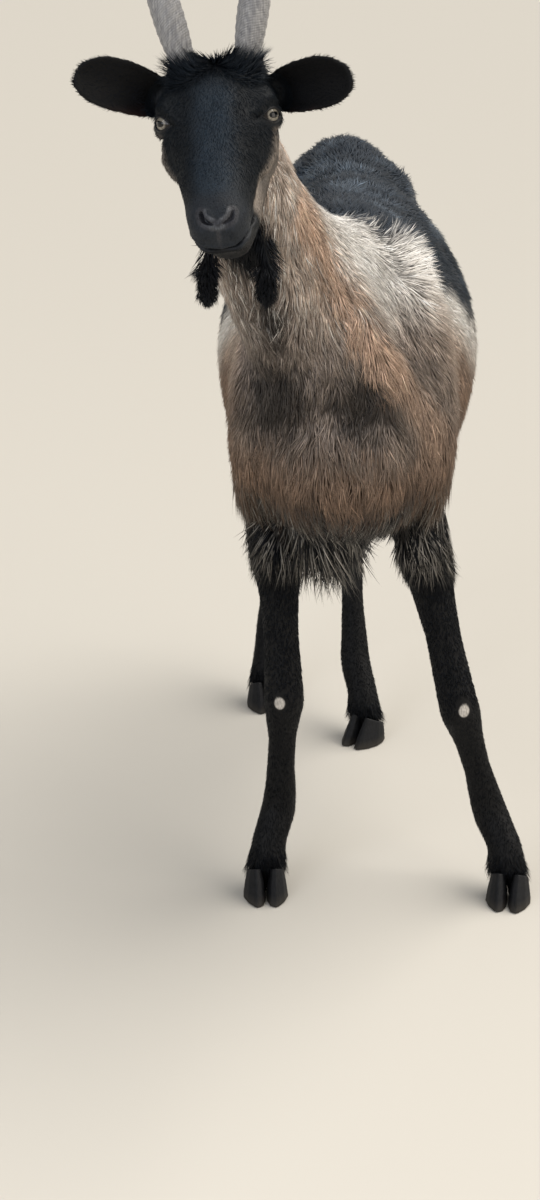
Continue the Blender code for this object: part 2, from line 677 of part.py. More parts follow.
def claw(name, half):
    """One of the two toes of a hoof: a flat sole and a wall that leans back to the hair."""
    stance = STANCE[name]
    foot = coronet(name).translation * Vector((1, 1, 0))
    turn = Matrix.Rotation(math.radians(-half * CLAW_SPLAY - stance["side"] * stance["turn"]),
                           3, "Z")
    plane = coronet(name).to_3x3() @ Vector((0, 0, 1))
    mesh = bmesh.new()
    loops = []
    for level in range(CLAW_LEVELS + 1):
        up = level / CLAW_LEVELS
        loop = []
        for corner in claw_outline(half, up):
            place = turn @ corner
            top = max(CORONET_HEIGHT - place.dot(plane) / plane.z, 0.004)
            loop.append(mesh.verts.new(foot + place + Vector((0, 0, up * top))))
        loops.append(loop)
    for low, high in zip(loops, loops[1:]):
        for k in range(CLAW_SIDES):
            j = (k + 1) % CLAW_SIDES
            mesh.faces.new((low[k], low[j], high[j], high[k]))
    mesh.faces.new(loops[0])
    mesh.faces.new(loops[-1])
    return finished("claw", mesh)


# ---------------------------------------------------------------- finishes
FINISHES = {
    "black_coat": ((0.013, 0.013, 0.015), 0.75),
    "dark_brown_coat": ((0.045, 0.030, 0.022), 0.80),
    "grey_coat": ((0.215, 0.170, 0.140), 0.85),
    "horn": ((0.300, 0.265, 0.225), 0.55),
    "hoof": ((0.030, 0.028, 0.028), 0.50),
    "amber_eye": ((0.330, 0.230, 0.110), 0.08),
}


def finish_of(name):
    """The finish that a piece has, from what it is."""
    if "claw" in name:
        return "hoof"
    kinds = {"horn": "horn", "eye": "amber_eye", "neck": "grey_coat", "trunk": "dark_brown_coat"}
    return kinds.get(name.split("_")[0], "black_coat")


def material(name):
    """A plain material for one finish, made once."""
    known = bpy.data.materials.get(name)
    if known:
        return known
    colour, roughness = FINISHES[name]
    made = bpy.data.materials.new(name)
    made.use_nodes = True
    shader = made.node_tree.nodes["Principled BSDF"]
    shader.inputs["Base Color"].default_value = (*colour, 1.0)
    shader.inputs["Roughness"].default_value = roughness
    return made


# ---------------------------------------------------------------- the whole goat
def corners_of(items):
    """The lowest and highest corners of the box round some pieces."""
    places = np.array([vertex.co for item in items for vertex in item.data.vertices])
    return Vector(places.min(axis=0)), Vector(places.max(axis=0))


def goat_pieces():
    """Every named piece, where it belongs on the goat."""
    pieces = parted_body()
    for side, word in ((1, "left"), (-1, "right")):
        for cutter in (eye(side, GAP), horn(side, 0.10, GAP)):
            pieces["head"] = boolean(pieces["head"], cutter, "DIFFERENCE", "head")
        pieces["eye_" + word] = eye(side)
        pieces["horn_" + word] = horn(side)
    for name in STANCE:
        for half, word in ((1, "left"), (-1, "right")):
            pieces[name + "_claw_" + word] = claw(name, half)
    return pieces


for item in list(bpy.data.objects):
    bpy.data.objects.remove(item)
GOAT = goat_pieces()
LOW, HIGH = corners_of(GOAT.values())
FLOOR_SHIFT = -Vector(((LOW.x + HIGH.x) / 2, (LOW.y + HIGH.y) / 2, LOW.z))

collection = bpy.data.collections.new("goat")
bpy.context.scene.collection.children.link(collection)
root = bpy.data.objects.new("goat_root", None)
root.location = FLOOR_SHIFT
collection.objects.link(root)
for name, item in GOAT.items():
    low, high = corners_of([item])
    middle = (low + high) / 2
    item.data.transform(Matrix.Translation(-middle))
    item.location = middle
    item.parent = root
    item.name = name
    item.data.materials.clear()
    item.data.materials.append(material(finish_of(name)))
    bpy.context.scene.collection.objects.unlink(item)
    collection.objects.link(item)
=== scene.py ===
"""A young mountain goat, as a still, life-size museum model: black face, cape and legs, and a
grey, tan and white fore end, in its short summer coat."""
import fnmatch
import math

import bmesh
import bpy
import numpy as np
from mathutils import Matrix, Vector
from mathutils.bvhtree import BVHTree


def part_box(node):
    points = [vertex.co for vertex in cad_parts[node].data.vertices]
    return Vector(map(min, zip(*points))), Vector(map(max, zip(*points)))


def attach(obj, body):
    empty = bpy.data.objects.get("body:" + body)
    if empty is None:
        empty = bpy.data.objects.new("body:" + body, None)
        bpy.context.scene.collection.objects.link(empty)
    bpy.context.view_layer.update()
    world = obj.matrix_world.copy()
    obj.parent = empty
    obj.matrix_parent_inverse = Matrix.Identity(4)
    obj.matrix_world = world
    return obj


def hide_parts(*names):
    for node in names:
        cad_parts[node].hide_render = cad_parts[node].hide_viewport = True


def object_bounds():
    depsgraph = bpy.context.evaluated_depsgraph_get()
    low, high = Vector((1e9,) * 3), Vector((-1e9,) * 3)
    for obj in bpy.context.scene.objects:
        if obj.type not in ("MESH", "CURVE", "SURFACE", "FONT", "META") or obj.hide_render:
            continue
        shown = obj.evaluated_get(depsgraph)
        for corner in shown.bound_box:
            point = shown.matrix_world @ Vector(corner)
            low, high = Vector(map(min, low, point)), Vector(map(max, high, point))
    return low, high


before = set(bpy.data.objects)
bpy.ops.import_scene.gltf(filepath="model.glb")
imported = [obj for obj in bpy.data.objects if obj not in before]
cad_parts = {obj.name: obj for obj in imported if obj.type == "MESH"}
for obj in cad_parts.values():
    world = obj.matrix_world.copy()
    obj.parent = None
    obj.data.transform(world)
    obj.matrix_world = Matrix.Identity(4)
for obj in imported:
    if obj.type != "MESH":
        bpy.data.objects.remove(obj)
cad_low, cad_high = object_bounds()


# ---------------------------------------------------------------- camera
# The camera stands 1.8 m in front of the goat, a little above the tips of its horns, and looks
# down on it. The top edge of its view cuts the horns.
CAMERA_AHEAD = 1.827       # of the goat's foremost point
CAMERA_ASIDE = 0.0027      # to the goat's left, from the middle of its width
CAMERA_OVER = 0.0787       # its highest point
CAMERA_PITCH = 20.5        # degrees downwards
CAMERA_TURN = 1.547        # degrees towards the goat's right

bpy.ops.object.select_all(action="DESELECT")
middle_x = (cad_low.x + cad_high.x) / 2
bpy.ops.object.camera_add(
    location=(middle_x + CAMERA_ASIDE, cad_low.y - CAMERA_AHEAD, cad_high.z + CAMERA_OVER),
    rotation=(math.radians(90 - CAMERA_PITCH), 0, math.radians(CAMERA_TURN)))
camera = bpy.context.object
camera.data.sensor_fit = "VERTICAL"
camera.data.sensor_height = 36
camera.data.lens = 72
bpy.context.scene.camera = camera


# ---------------------------------------------------------------- floor and light
# A plain pale studio floor, matt enough that it only holds the goat's shadow. Soft light comes
# from high on its left and behind it, as from a bright sky, and two wide lamps fill the front.
def linear(hex_colour):
    """Linear red, green, blue and alpha of an sRGB hex colour."""
    channels = [int(hex_colour[i:i + 2], 16) / 255 for i in (1, 3, 5)]
    return [c / 12.92 if c <= 0.04045 else ((c + 0.055) / 1.055) ** 2.4 for c in channels] + [1]


def new_material(name, roughness, **sockets):
    """A material with its shader, whose named sockets are set."""
    material = bpy.data.materials.new(name)
    material.use_nodes = True
    shader = material.node_tree.nodes["Principled BSDF"]
    shader.inputs["Roughness"].default_value = roughness
    for socket, value in sockets.items():
        shader.inputs[socket.replace("_", " ")].default_value = value
    return material, shader


def wire(material, node, links):
    """Links outputs, or the first output in use of whole nodes, into a node's sockets."""
    for socket, source in dict(links).items():
        if isinstance(source, bpy.types.Node):
            source = next(output for output in source.outputs if output.enabled)
        material.node_tree.links.new(source, node.inputs[socket])


def add_node(material, kind, settings=(), values=(), links=()):
    """A node with its properties, socket values and links into its sockets."""
    node = material.node_tree.nodes.new("ShaderNode" + kind)
    for name, value in dict(settings).items():
        setattr(node, name, value)
    for socket, value in dict(values).items():
        node.inputs[socket].default_value = value
    wire(material, node, links)
    return node


FLOOR_SIZE = 240
FLOOR_Z = -0.0005          # just clear of the hooves
bpy.ops.mesh.primitive_plane_add(size=FLOOR_SIZE, location=(0, 0, FLOOR_Z))
floor = bpy.context.object
floor.name = "studio_floor"
painted, _ = new_material("matt_studio_paint", 0.9, Base_Color=linear("#c6c2ba"))
floor.data.materials.append(painted)

LAMPS = {   # kind, where each lamp hangs, its strength and its colour
    "sky_lamp": ("SUN", (1.3, 0.7, 2.7), 2.9, "#fff9f0"),
    "front_lamp": ("AREA", (-1.6, -2.6, 1.9), 34, "#f2f6ff"),
    "side_lamp": ("AREA", (2.4, -1.5, 1.3), 26, "#fff6ea"),
}
SKY_SPREAD = 55            # degrees of sky that the first lamp fills, for soft shadows
LAMP_WIDTH = 2.0
LAMP_AIM = Vector((0, 0, 0.55))
WORLD_STRENGTH = 0.66
for name, (kind, place, power, colour) in LAMPS.items():
    aim = LAMP_AIM - Vector(place)
    bpy.ops.object.light_add(type=kind, location=place,
                             rotation=aim.to_track_quat("-Z", "Y").to_euler())
    lamp = bpy.context.object
    lamp.name = name
    if kind == "SUN":
        lamp.data.angle = math.radians(SKY_SPREAD)
    else:
        lamp.data.size = LAMP_WIDTH
    lamp.data.energy = power
    lamp.data.color = linear(colour)[:3]
world = bpy.data.worlds.new("studio")
bpy.context.scene.world = world
world.use_nodes = True
glow = world.node_tree.nodes["Background"].inputs
glow["Color"].default_value = linear("#e3e2df")
glow["Strength"].default_value = WORLD_STRENGTH
bpy.context.scene.view_settings.view_transform = "Standard"


# ---------------------------------------------------------------- skin
# One hide covers the whole body: head, ears, neck, trunk, tail, wattles and legs. It is fused
# from the solids of flesh, smoothed, and drawn in by the depth of the coat that grows on it.
FLESH = [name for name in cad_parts
         if not name.startswith(("eye", "horn")) and "claw" not in name]
SKIN_VOXEL = 0.0020
OVERLAP = 0.0004           # each solid is swollen by this, to close the gaps between them
BODY_SHARE = 0.16          # of the fused triangles kept where the coat is deep


def select(item):
    """Selects one object alone, for the operators."""
    bpy.ops.object.select_all(action="DESELECT")
    item.select_set(True)
    bpy.context.view_layer.objects.active = item


def copied(nodes, name, swell=0.0):
    """One object that holds copies of solids, welded."""
    mesh = bmesh.new()
    for node in nodes:
        mesh.from_mesh(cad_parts[node].data)
    bmesh.ops.remove_doubles(mesh, verts=mesh.verts, dist=1e-6)
    mesh.normal_update()
    for vertex in mesh.verts:
        vertex.co += vertex.normal * swell
    data = bpy.data.meshes.new(name)
    mesh.to_mesh(data)
    mesh.free()
    item = bpy.data.objects.new(name, data)
    bpy.context.scene.collection.objects.link(item)
    select(item)
    return item


def modify(item, kind, **settings):
    """Applies a modifier to an object."""
    select(item)
    bpy.ops.object.modifier_add(type=kind)
    modifier = item.modifiers[-1]
    for name, value in settings.items():
        setattr(modifier, name, value)
    bpy.ops.object.modifier_apply(modifier=modifier.name)


def read(item, what, of="vertices", width=3, kind=float):
    """A row of numbers for each vertex of an object, or for each of its edges or triangles."""
    rows = getattr(item.data, of)
    values = np.zeros(len(rows) * width, np.float32 if kind is float else np.int32)
    rows.foreach_get(what, values)
    return values.reshape(-1, width).astype(kind)


def place_vertices(item, places):
    item.data.vertices.foreach_set("co", places.ravel())
    item.data.update()


def relaxed(values, ends, share, rounds):
    """Values on vertices, each drawn by its share towards the mean of its neighbours."""
    values = values.copy()
    count = len(values)
    valence = np.maximum(np.bincount(ends.ravel(), minlength=count), 1)
    for _ in range(rounds):
        for column in values.T:
            total = (np.bincount(ends[:, 0], column[ends[:, 1]], count)
                     + np.bincount(ends[:, 1], column[ends[:, 0]], count))
            column += (total / valence - column) * share
    return values


def evened(values, ends, rounds):
    """One value for each vertex, spread into its neighbours."""
    return relaxed(values[:, None], ends, 1.0, rounds)[:, 0]


def soft(value, start, end):
    """0 before the start, 1 past the end, and eased between them."""
    t = np.clip((value - start) / (end - start), 0, 1)
    return t * t * (3 - 2 * t)


def norms(vectors):
    return np.linalg.norm(vectors, axis=1)


solid_corners, solid_faces, solid_node = [], [], []
for index, node in enumerate(FLESH):
    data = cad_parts[node].data
    first = len(solid_corners)
    solid_corners += [vertex.co.copy() for vertex in data.vertices]
    solid_faces += [[first + k for k in face.vertices] for face in data.polygons]
    solid_node += [index] * len(data.polygons)
solids = BVHTree.FromPolygons(solid_corners, solid_faces)
solid_node = np.array(solid_node)


def nearest_solids(places):
    """For each place: the index of the nearest node of flesh, and how far outside it is."""
    nodes = np.zeros(len(places), int)
    outside = np.zeros(len(places))
    for i, place in enumerate(places):
        point, normal, face, distance = solids.find_nearest(Vector(place))
        nodes[i] = solid_node[face]
        outside[i] = math.copysign(distance, (Vector(place) - point).dot(normal))
    return nodes, outside


def by_part(nodes, table):
    """For each vertex the table's value for its node. A key is the start of a node's name: the
    longest one that fits holds, and the empty one is for all the rest."""
    values = []
    for node in FLESH:
        keys = [key for key in table if fnmatch.fnmatch(node, key + "*")]
        values.append(table[max(keys, key=len)])
    return np.array(values, float)[nodes]


def on_part(nodes, *starts):
    """1 for each vertex on a node whose name starts so, and 0 on the others."""
    return by_part(nodes, {**dict.fromkeys(starts, 1), "": 0})


skin = copied(FLESH + ["eye_left", "eye_right"], "hide", OVERLAP)
modify(skin, "REMESH", mode="VOXEL", voxel_size=SKIN_VOXEL)
places = read(skin, "co")
ends = read(skin, "vertices", "edges", 2, int)
nodes, _ = nearest_solids(places)
SMOOTHING = {"trunk": 1.0, "neck": 0.8, "hindleg_*_upper": 0.6, "foreleg_*_upper": 0.35,
             "head": 0.06, "ear": 0.02, "tail": 0.25, "wattle": 0.05, "": 0.14}
STAGES = 12                # of smoothing, and a part of softness 1 goes through them all
ROUNDS = 11                # in each stage
COARSE_ABOVE = 0.13        # the softness above which the skin keeps only BODY_SHARE of its faces
softness = evened(by_part(nodes, SMOOTHING), ends, 12)
for stage in range(STAGES):
    places = relaxed(places, ends, 0.6 * np.clip(softness * STAGES - stage, 0, 1), ROUNDS)
place_vertices(skin, places)

group = skin.vertex_groups.new(name="deep_coat")
group.add([int(i) for i in np.flatnonzero(softness > COARSE_ABOVE)], 1.0, "REPLACE")
modify(skin, "DECIMATE", ratio=BODY_SHARE, vertex_group="deep_coat")
skin.vertex_groups.clear()

# The skin lies under the tips of the coat by this, in metres.
COAT_DEPTH = {"trunk": 0.0042, "neck": 0.0038, "head": 0.0013, "ear": 0.0006, "tail": 0.0060,
              "wattle": 0.0026, "hindleg_*_upper": 0.0034, "foreleg_*_upper": 0.0030,
              "": 0.0018}
SOLE_BELOW = 0.046         # the feet's soles are lower than this,
SOLE_DEPTH = -0.0012       # and the hide there meets the hooves below it
FLARE = 0.0030             # the foot swells over the top of its hooves
NAPE_BACK, NAPE_DOWN = 0.008, 0.022      # its middle, from the back and top of the head
WATTLE_RISE = 0.005
WEB_DROP = 0.023           # the web between two claws reaches down this far
places = read(skin, "co")
ends = read(skin, "vertices", "edges", 2, int)
nodes, outside = nearest_solids(places)
depth = evened(by_part(nodes, COAT_DEPTH), ends, 12)
sole = (read(skin, "normal")[:, 2] < -0.6) & (places[:, 2] < SOLE_BELOW)
depth[sole] = SOLE_DEPTH
flare = on_part(nodes, "foreleg", "hindleg") * ~sole
depth -= FLARE * flare * (1 - soft(places[:, 2], 0.038, 0.054))
places -= read(skin, "normal") * evened(outside + depth, ends, 16)[:, None]
head_low, head_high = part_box("head")
nape = np.array(((head_low.x + head_high.x) / 2, head_high.y - NAPE_BACK,
                 head_high.z - NAPE_DOWN))
places = relaxed(places, ends, 0.6 * (1 - soft(norms(places - nape), 0.024, 0.046)), 90)
places[:, 2] += WATTLE_RISE * on_part(nodes, "wattle") * soft(0.70 - places[:, 2], 0.0, 0.05)
for claw_left in sorted(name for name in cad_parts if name.endswith("claw_left")):
    one, other = (sum(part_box(claw_left[:-4] + word), Vector()) / 2 for word in ("left", "right"))
    apart = (one - other).normalized()
    from_foot = places - np.array((one + other) / 2)
    aside = np.abs(from_foot @ np.array((apart.x, apart.y, 0)))
    ahead = np.abs(from_foot @ np.array((-apart.y, apart.x, 0)))
    web = sole * (1 - soft(aside, 0.0010, 0.0030)) * (1 - soft(ahead, 0.015, 0.023))
    places[:, 2] -= WEB_DROP * web * (norms(from_foot[:, :2]) < 0.03)
place_vertices(skin, places)


# ---------------------------------------------------------------- face
# Lids, nostrils, philtrum and lips are folds of the same hide. They are pressed into it in the
# head's own frame: x to the goat's left, y up the face to the poll, z out of the forehead.
FACE_SLOPE = 31.0          # of the line from nose to poll, above the horizon
FACE_TURN = 1.2            # to the goat's left
EYE_RISE = 0.0062          # the eyes' middles lie this far in front of the frame's origin
EYE_AHEAD = 0.0038         # and this far towards the nose
SIDES = {1: "left", -1: "right"}
eye_middle = {}
for side, word in SIDES.items():
    low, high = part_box("eye_" + word)
    eye_middle[side] = (low + high) / 2
EYE_RADIUS = (high.x - low.x) / 2
head_x = (eye_middle[1] - eye_middle[-1]).normalized()
slope, turn = math.radians(FACE_SLOPE), math.radians(FACE_TURN)
head_y = Vector((-math.sin(turn) * math.cos(slope), math.cos(turn) * math.cos(slope),
                 math.sin(slope)))
head_z = head_x.cross(head_y)
head_axes = np.array([head_x, head_y, head_z])
head_origin = np.array((eye_middle[1] + eye_middle[-1]) / 2
                       - head_z * EYE_RISE + head_y * EYE_AHEAD)


def in_head(points):
    """Places on the goat, in the head's frame."""
    return (points - head_origin) @ head_axes.T


def to_path(points, path):
    """How far each point is from a path of straight runs, and how far along it: 0 to 1."""
    path = np.array(path, float)
    best = np.full(len(points), 1e9)
    along = np.zeros(len(points))
    for k, (start, end) in enumerate(zip(path, path[1:])):
        run = end - start
        t = np.clip((points - start) @ run / (run @ run), 0, 1)
        distance = norms(points - start - t[:, None] * run)
        closer = distance < best
        best[closer] = distance[closer]
        along[closer] = (k + t[closer]) / (len(path) - 1)
    return best, along


NOSE_SHIFT = 0.0012        # the nose is set this far to the left of the eyes' middle


def to_fold(local, path, side=1):
    """The same for a fold's path, which runs on the nose's left or, with side -1, its right."""
    return to_path(local, [(side * x + NOSE_SHIFT, y, z) for x, y, z in path])


NOSTRIL = [(0.0034, -0.1206, 0.0012), (0.0084, -0.1180, 0.0020), (0.0116, -0.1148, 0.0024),
           (0.0127, -0.1098, 0.0042)]
NOSTRIL_FOLD = [(0.0040, -0.1166, 0.0042), (0.0086, -0.1098, 0.0064)]
NOSTRIL_RIM = [(0.0000, -0.1226, -0.0018), (0.0050, -0.1212, -0.0004)]
PHILTRUM = [(0.0000, -0.1230, -0.0040), (0.0000, -0.1240, -0.0200)]
# the height of the gap between the lips, by the way round the muzzle from its front
MOUTH_WAY = [0.0, 0.0111, 0.0174, 0.0235, 0.0388, 0.0543, 0.0630]
MOUTH_HEIGHT = [-0.0254, -0.0225, -0.0192, -0.0188, -0.0234, -0.0276, -0.0284]
# under the eyes and beside the muzzle: where, how far round it, and how much fuller
CHEEK_FULLNESS = [((0.040, -0.027, 0.003), (0.020, 0.013, 0.018), 0.0058),
                  ((0.045, -0.019, 0.006), (0.012, 0.007, 0.012), 0.0034),
                  ((0.030, -0.066, -0.008), (0.020, 0.028, 0.018), 0.0022),
                  ((0.021, -0.102, -0.006), (0.016, 0.018, 0.016), 0.0020)]
POLL_DROP = 0.009
EYE_AXIS = Vector((0.71, -0.52, 0.50)).normalized()        # the left eye looks this way
LID_THICK = 0.0011
OPENING_HALF = 0.0086      # of the gap between the lids, from corner to corner
OPENING_UP = 0.0045
OPENING_DOWN = 0.0047


def mouth_gap(local):
    """How far above the gap between the lips each point is, and its way round the muzzle."""
    way = np.abs(local[:, 0] - NOSE_SHIFT) + np.maximum(local[:, 1] + 0.118, 0)
    return local[:, 2] - np.interp(way, MOUTH_WAY, MOUTH_HEIGHT), way


def finer(item, chosen):
    """Divides the edges whose ends are both chosen."""
    mesh = bmesh.new()
    mesh.from_mesh(item.data)
    edges = [edge for edge in mesh.edges
             if chosen[edge.verts[0].index] and chosen[edge.verts[1].index]]
    bmesh.ops.subdivide_edges(mesh, edges=edges, cuts=1, use_grid_fill=True)
    mesh.to_mesh(item.data)
    mesh.free()


def eye_frame(side):
    """The eye's middle, and its axes: level across it, upwards, and out along its gaze."""
    gaze = (head_x * EYE_AXIS.x * side + head_y * EYE_AXIS.y + head_z * EYE_AXIS.z).normalized()
    across = (Vector((0, 0, 1)).cross(gaze) * side).normalized()
    return np.array(eye_middle[side]), np.array([across, gaze.cross(across) * side, gaze])


KNEE_X = {"left": 0.1345, "right": -0.0465}
KNEE_DOWN = 0.006          # from the top of the lower leg
knee_spots = []            # a bare callus on the front of each knee
for word, knee_x in KNEE_X.items():
    low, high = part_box("foreleg_" + word + "_lower")
    knee_spots.append(np.array((knee_x, low.y, high.z - KNEE_DOWN)))


def folds_near(points, margin):
    """Whether each point is near the eyes, nostrils or mouth, or a callus."""
    near = np.zeros(len(points), bool)
    for middle in knee_spots:
        near |= norms((points - middle) / (1, 2, 1)) < 0.0160 + margin
    local = in_head(points)
    for side in SIDES:
        near |= norms(points - np.array(eye_middle[side])) < 0.0150 + margin
        near |= to_fold(local, NOSTRIL, side)[0] < 0.0060 + margin
    gap, way = mouth_gap(local)
    near |= (np.abs(gap) < 0.0050 + margin) & (way < 0.065 + margin) & (local[:, 1] < -0.06)
    return near | (to_fold(local, PHILTRUM)[0] < 0.0030 + margin)


def crest(distance, width):
    """1 on a line, and less beside it, down to a third at this width."""
    return np.exp(-(distance / width) ** 2)


finer(skin, folds_near(places, 0.004))
finer(skin, folds_near(read(skin, "co"), 0.001))
places = read(skin, "co")
ends = read(skin, "vertices", "edges", 2, int)
places = relaxed(places, ends, folds_near(places, 0.002) * 0.5, 6)

local = in_head(places)
normals = read(skin, "normal")
press = np.zeros(len(places))
for side in SIDES:
    distance, along = to_fold(local, NOSTRIL, side)
    gape = 0.0010 + 0.0007 * np.sin(np.clip(along, 0, 1) * math.pi * 0.8)
    press += 0.0052 * (1 - soft(distance, gape * 0.5, gape * 1.5))
    fold, _ = to_fold(local, NOSTRIL_FOLD, side)
    press -= 0.0011 * crest(fold, 0.0028)
    rim, _ = to_fold(local, NOSTRIL_RIM, side)
    press -= 0.0004 * crest(rim, 0.0014)
    for middle, reach, fullness in CHEEK_FULLNESS:
        off = norms((local - (middle[0] * side, *middle[1:])) / reach)
        press -= fullness * crest(off, 1.0)
gap, way = mouth_gap(local)
lips = (1 - soft(way, 0.058, 0.066)) * (local[:, 1] < -0.055)
press += 0.0030 * lips * crest(gap, 0.0013)
press -= 0.0009 * lips * (crest(gap - 0.0038, 0.0022) + crest(gap + 0.0036, 0.0020))
press += 0.0006 * crest(to_fold(local, PHILTRUM)[0], 0.0009)
places -= normals * press[:, None]
# the poll is lowered between the horns, and the brow and cheek run smoothly into the lids
poll = crest(local[:, 1] - 0.070, 0.022) * crest(local[:, 0], 0.034)
places[:, 2] -= POLL_DROP * poll * soft(local[:, 2], -0.020, 0.005)
for side in SIDES:
    off = norms(places - np.array(eye_middle[side]))
    ring = soft(off, 0.0128, 0.0145) * (1 - soft(off, 0.022, 0.030))
    places = relaxed(places, ends, 0.5 * ring, 30)

bare = np.zeros(len(places))       # 1 where no hair grows
eyelid = np.zeros(len(places))
for side in SIDES:
    middle, axes = eye_frame(side)
    from_eye = places - middle
    distance = norms(from_eye)
    out = from_eye / np.maximum(distance, 1e-6)[:, None]
    across, up, ahead = (out @ axes.T * EYE_RADIUS).T
    facing = (ahead > 0) & (distance < 1.9 * EYE_RADIUS)
    half_height = np.where(up > 0, OPENING_UP, OPENING_DOWN)
    opening = np.abs(up) / half_height + (across / OPENING_HALF) ** 2
    lid = EYE_RADIUS + LID_THICK * (0.75 + 0.45 * crest(opening - 1.15, 0.14)
                                    - 0.35 * crest(opening - 1.95, 0.16) * (up > 0))
    inside = 1 - soft(opening, 0.93, 1.06)
    hollow = soft(opening, 1.30, 2.20)
    orbit = 0.0016 * crest(opening - 2.0, 0.45)
    wanted = lid + np.maximum(distance - lid, 0) * hollow + orbit
    wanted = wanted + (EYE_RADIUS - 0.003 - wanted) * inside
    places[facing] = (middle + out * wanted[:, None])[facing]
    ring = soft(opening, 0.8, 1.0) * (1 - soft(opening, 1.22, 1.42)) * facing
    eyelid = np.maximum(eyelid, ring)
    bare = np.maximum(bare, (1 - soft(opening, 1.25, 1.5)) * facing)
place_vertices(skin, places)
local = in_head(places)
gap, way = mouth_gap(local)
lips = (1 - soft(way, 0.060, 0.066)) * (local[:, 1] < -0.055)
# painted shade: a black line along the crease where the lips meet
lip_crease_shade = lips * crest(gap, 0.0011)
bare = np.maximum(bare, lips * (1 - soft(np.abs(gap), 0.0014, 0.0026)))
pad = to_fold(local, PHILTRUM)[0] + 0.0035
rim = np.full(len(places), 1.0)
for side in SIDES:
    pad = np.minimum(pad, to_fold(local, NOSTRIL, side)[0])
    for path in (NOSTRIL_FOLD, NOSTRIL_RIM):
        rim = np.minimum(rim, to_fold(local, path, side)[0])
# painted highlight: the raised nostril rims and the pale V below the nostrils are painted paler,
# partly their own grey and partly a highlight on them
rim = crest(rim, 0.0019)
nose_pad = 1 - soft(pad, 0.0042, 0.0062)
bare = np.maximum(bare, nose_pad)
callus = np.zeros(len(places))
callus_clear = np.zeros(len(places))     # where no tuft starts, so that none hangs over it
for middle in knee_spots:
    spot = norms((places - middle) / (0.0056, 0.02, 0.0068))
    callus = np.maximum(callus, 1 - soft(spot, 0.80, 1.05))
    spot = norms((places - middle - (0, 0, 0.005)) / (0.0074, 0.02, 0.0128))
    callus_clear = np.maximum(callus_clear, spot < 1)
bare = np.maximum(bare, callus)


# ---------------------------------------------------------------- markings
# The goat's colours, as one rule that skin and coat both follow: black face, legs, belly and
# cape, a pale band on the withers, a tan streak down each shoulder, brown flanks and chest.
# Some of it is painted light: a blue-grey sheen on the cape and down the nose, and painted
# shade in the dark patches on the chest, under the jaw and on the right cheek's pale stripe.
PALETTE = {"black": "#050507", "cape": "#2a323c", "cape_sheen": "#5d6976", "face": "#0b1117",
           "bridge": "#222d38", "muzzle": "#22272e", "white": "#efece8", "tan": "#c6aa96",
           "beige": "#bcaca0", "grey_brown": "#867b73", "brown": "#866f5e", "dark": "#282624",
           "dark_brown": "#483b2e", "cheek": "#9a9087", "locks": "#97928b", "rust": "#3a1d12",
           "lid": "#191a1d", "pad": "#2b2c31", "rim": "#4c4e52", "callus": "#b4afa8"}
PALETTE = {name: np.array(linear(value)[:3]) for name, value in PALETTE.items()}
MIDLINE = middle_x
# the line down the front of the neck and chest leans to the goat's right higher up
FRONT_Z = [0.50, 0.55, 0.604, 0.675, 0.72, 0.76]
FRONT_X = [-0.004, -0.024, -0.056, -0.072, -0.089, -0.099]
# the dark patches low on the neck and chest, partly dark hair and partly painted shade, and the
# black throat, partly painted shade under the jaw: where, and how far round it
DARK_PATCHES_AND_SHADE = [((-0.052, -0.236, 0.552), (0.046, 0.050, 0.044)),
           ((0.030, -0.262, 0.555), (0.044, 0.050, 0.038)),
           ((-0.052, -0.290, 0.630), (0.014, 0.050, 0.045))]
BLACK_THROAT_AND_SHADE = ((-0.080, -0.345, 0.700), (0.050, 0.050, 0.045))


def clouds(points, size, seed):
    """Smooth random values of about -1 to 1 that change over this size."""
    chance = np.random.default_rng(seed)
    waves = chance.normal(size=(20, 3))
    waves *= 2 * math.pi / (norms(waves) * size
                            * chance.uniform(0.7, 1.8, 20))[:, None]
    return np.sin(points @ waves.T + chance.uniform(0, 2 * math.pi, 20)).sum(axis=1) / 4.2


# the tan streak down each side of the neck and over the shoulder: how far from the middle line
# of the neck and chest, y, and z; and the height of the lower edge of the cape at each y
TAN_STREAK = [(0.066, -0.268, 0.720), (0.066, -0.250, 0.680), (0.074, -0.244, 0.643),
              (0.088, -0.248, 0.595), (0.099, -0.236, 0.565), (0.105, -0.212, 0.530),
              (0.102, -0.204, 0.470)]
# the pale stripe from each eye down the cheek, in the head's frame, and how it widens backwards
CHEEK_STRIPE = [(0.046, -0.016, -0.005), (0.040, -0.036, -0.012), (0.033, -0.053, -0.019),
                (0.029, -0.068, -0.024)]
CHEEK_STRIPE_SHIFTS = [(0, 0, 0), (0.004, 0.0, -0.009)]
CAPE_Y = [-0.15, -0.043, -0.012, 0.030, 0.13, 0.26]
CAPE_Z = [0.655, 0.603, 0.574, 0.552, 0.530, 0.505]


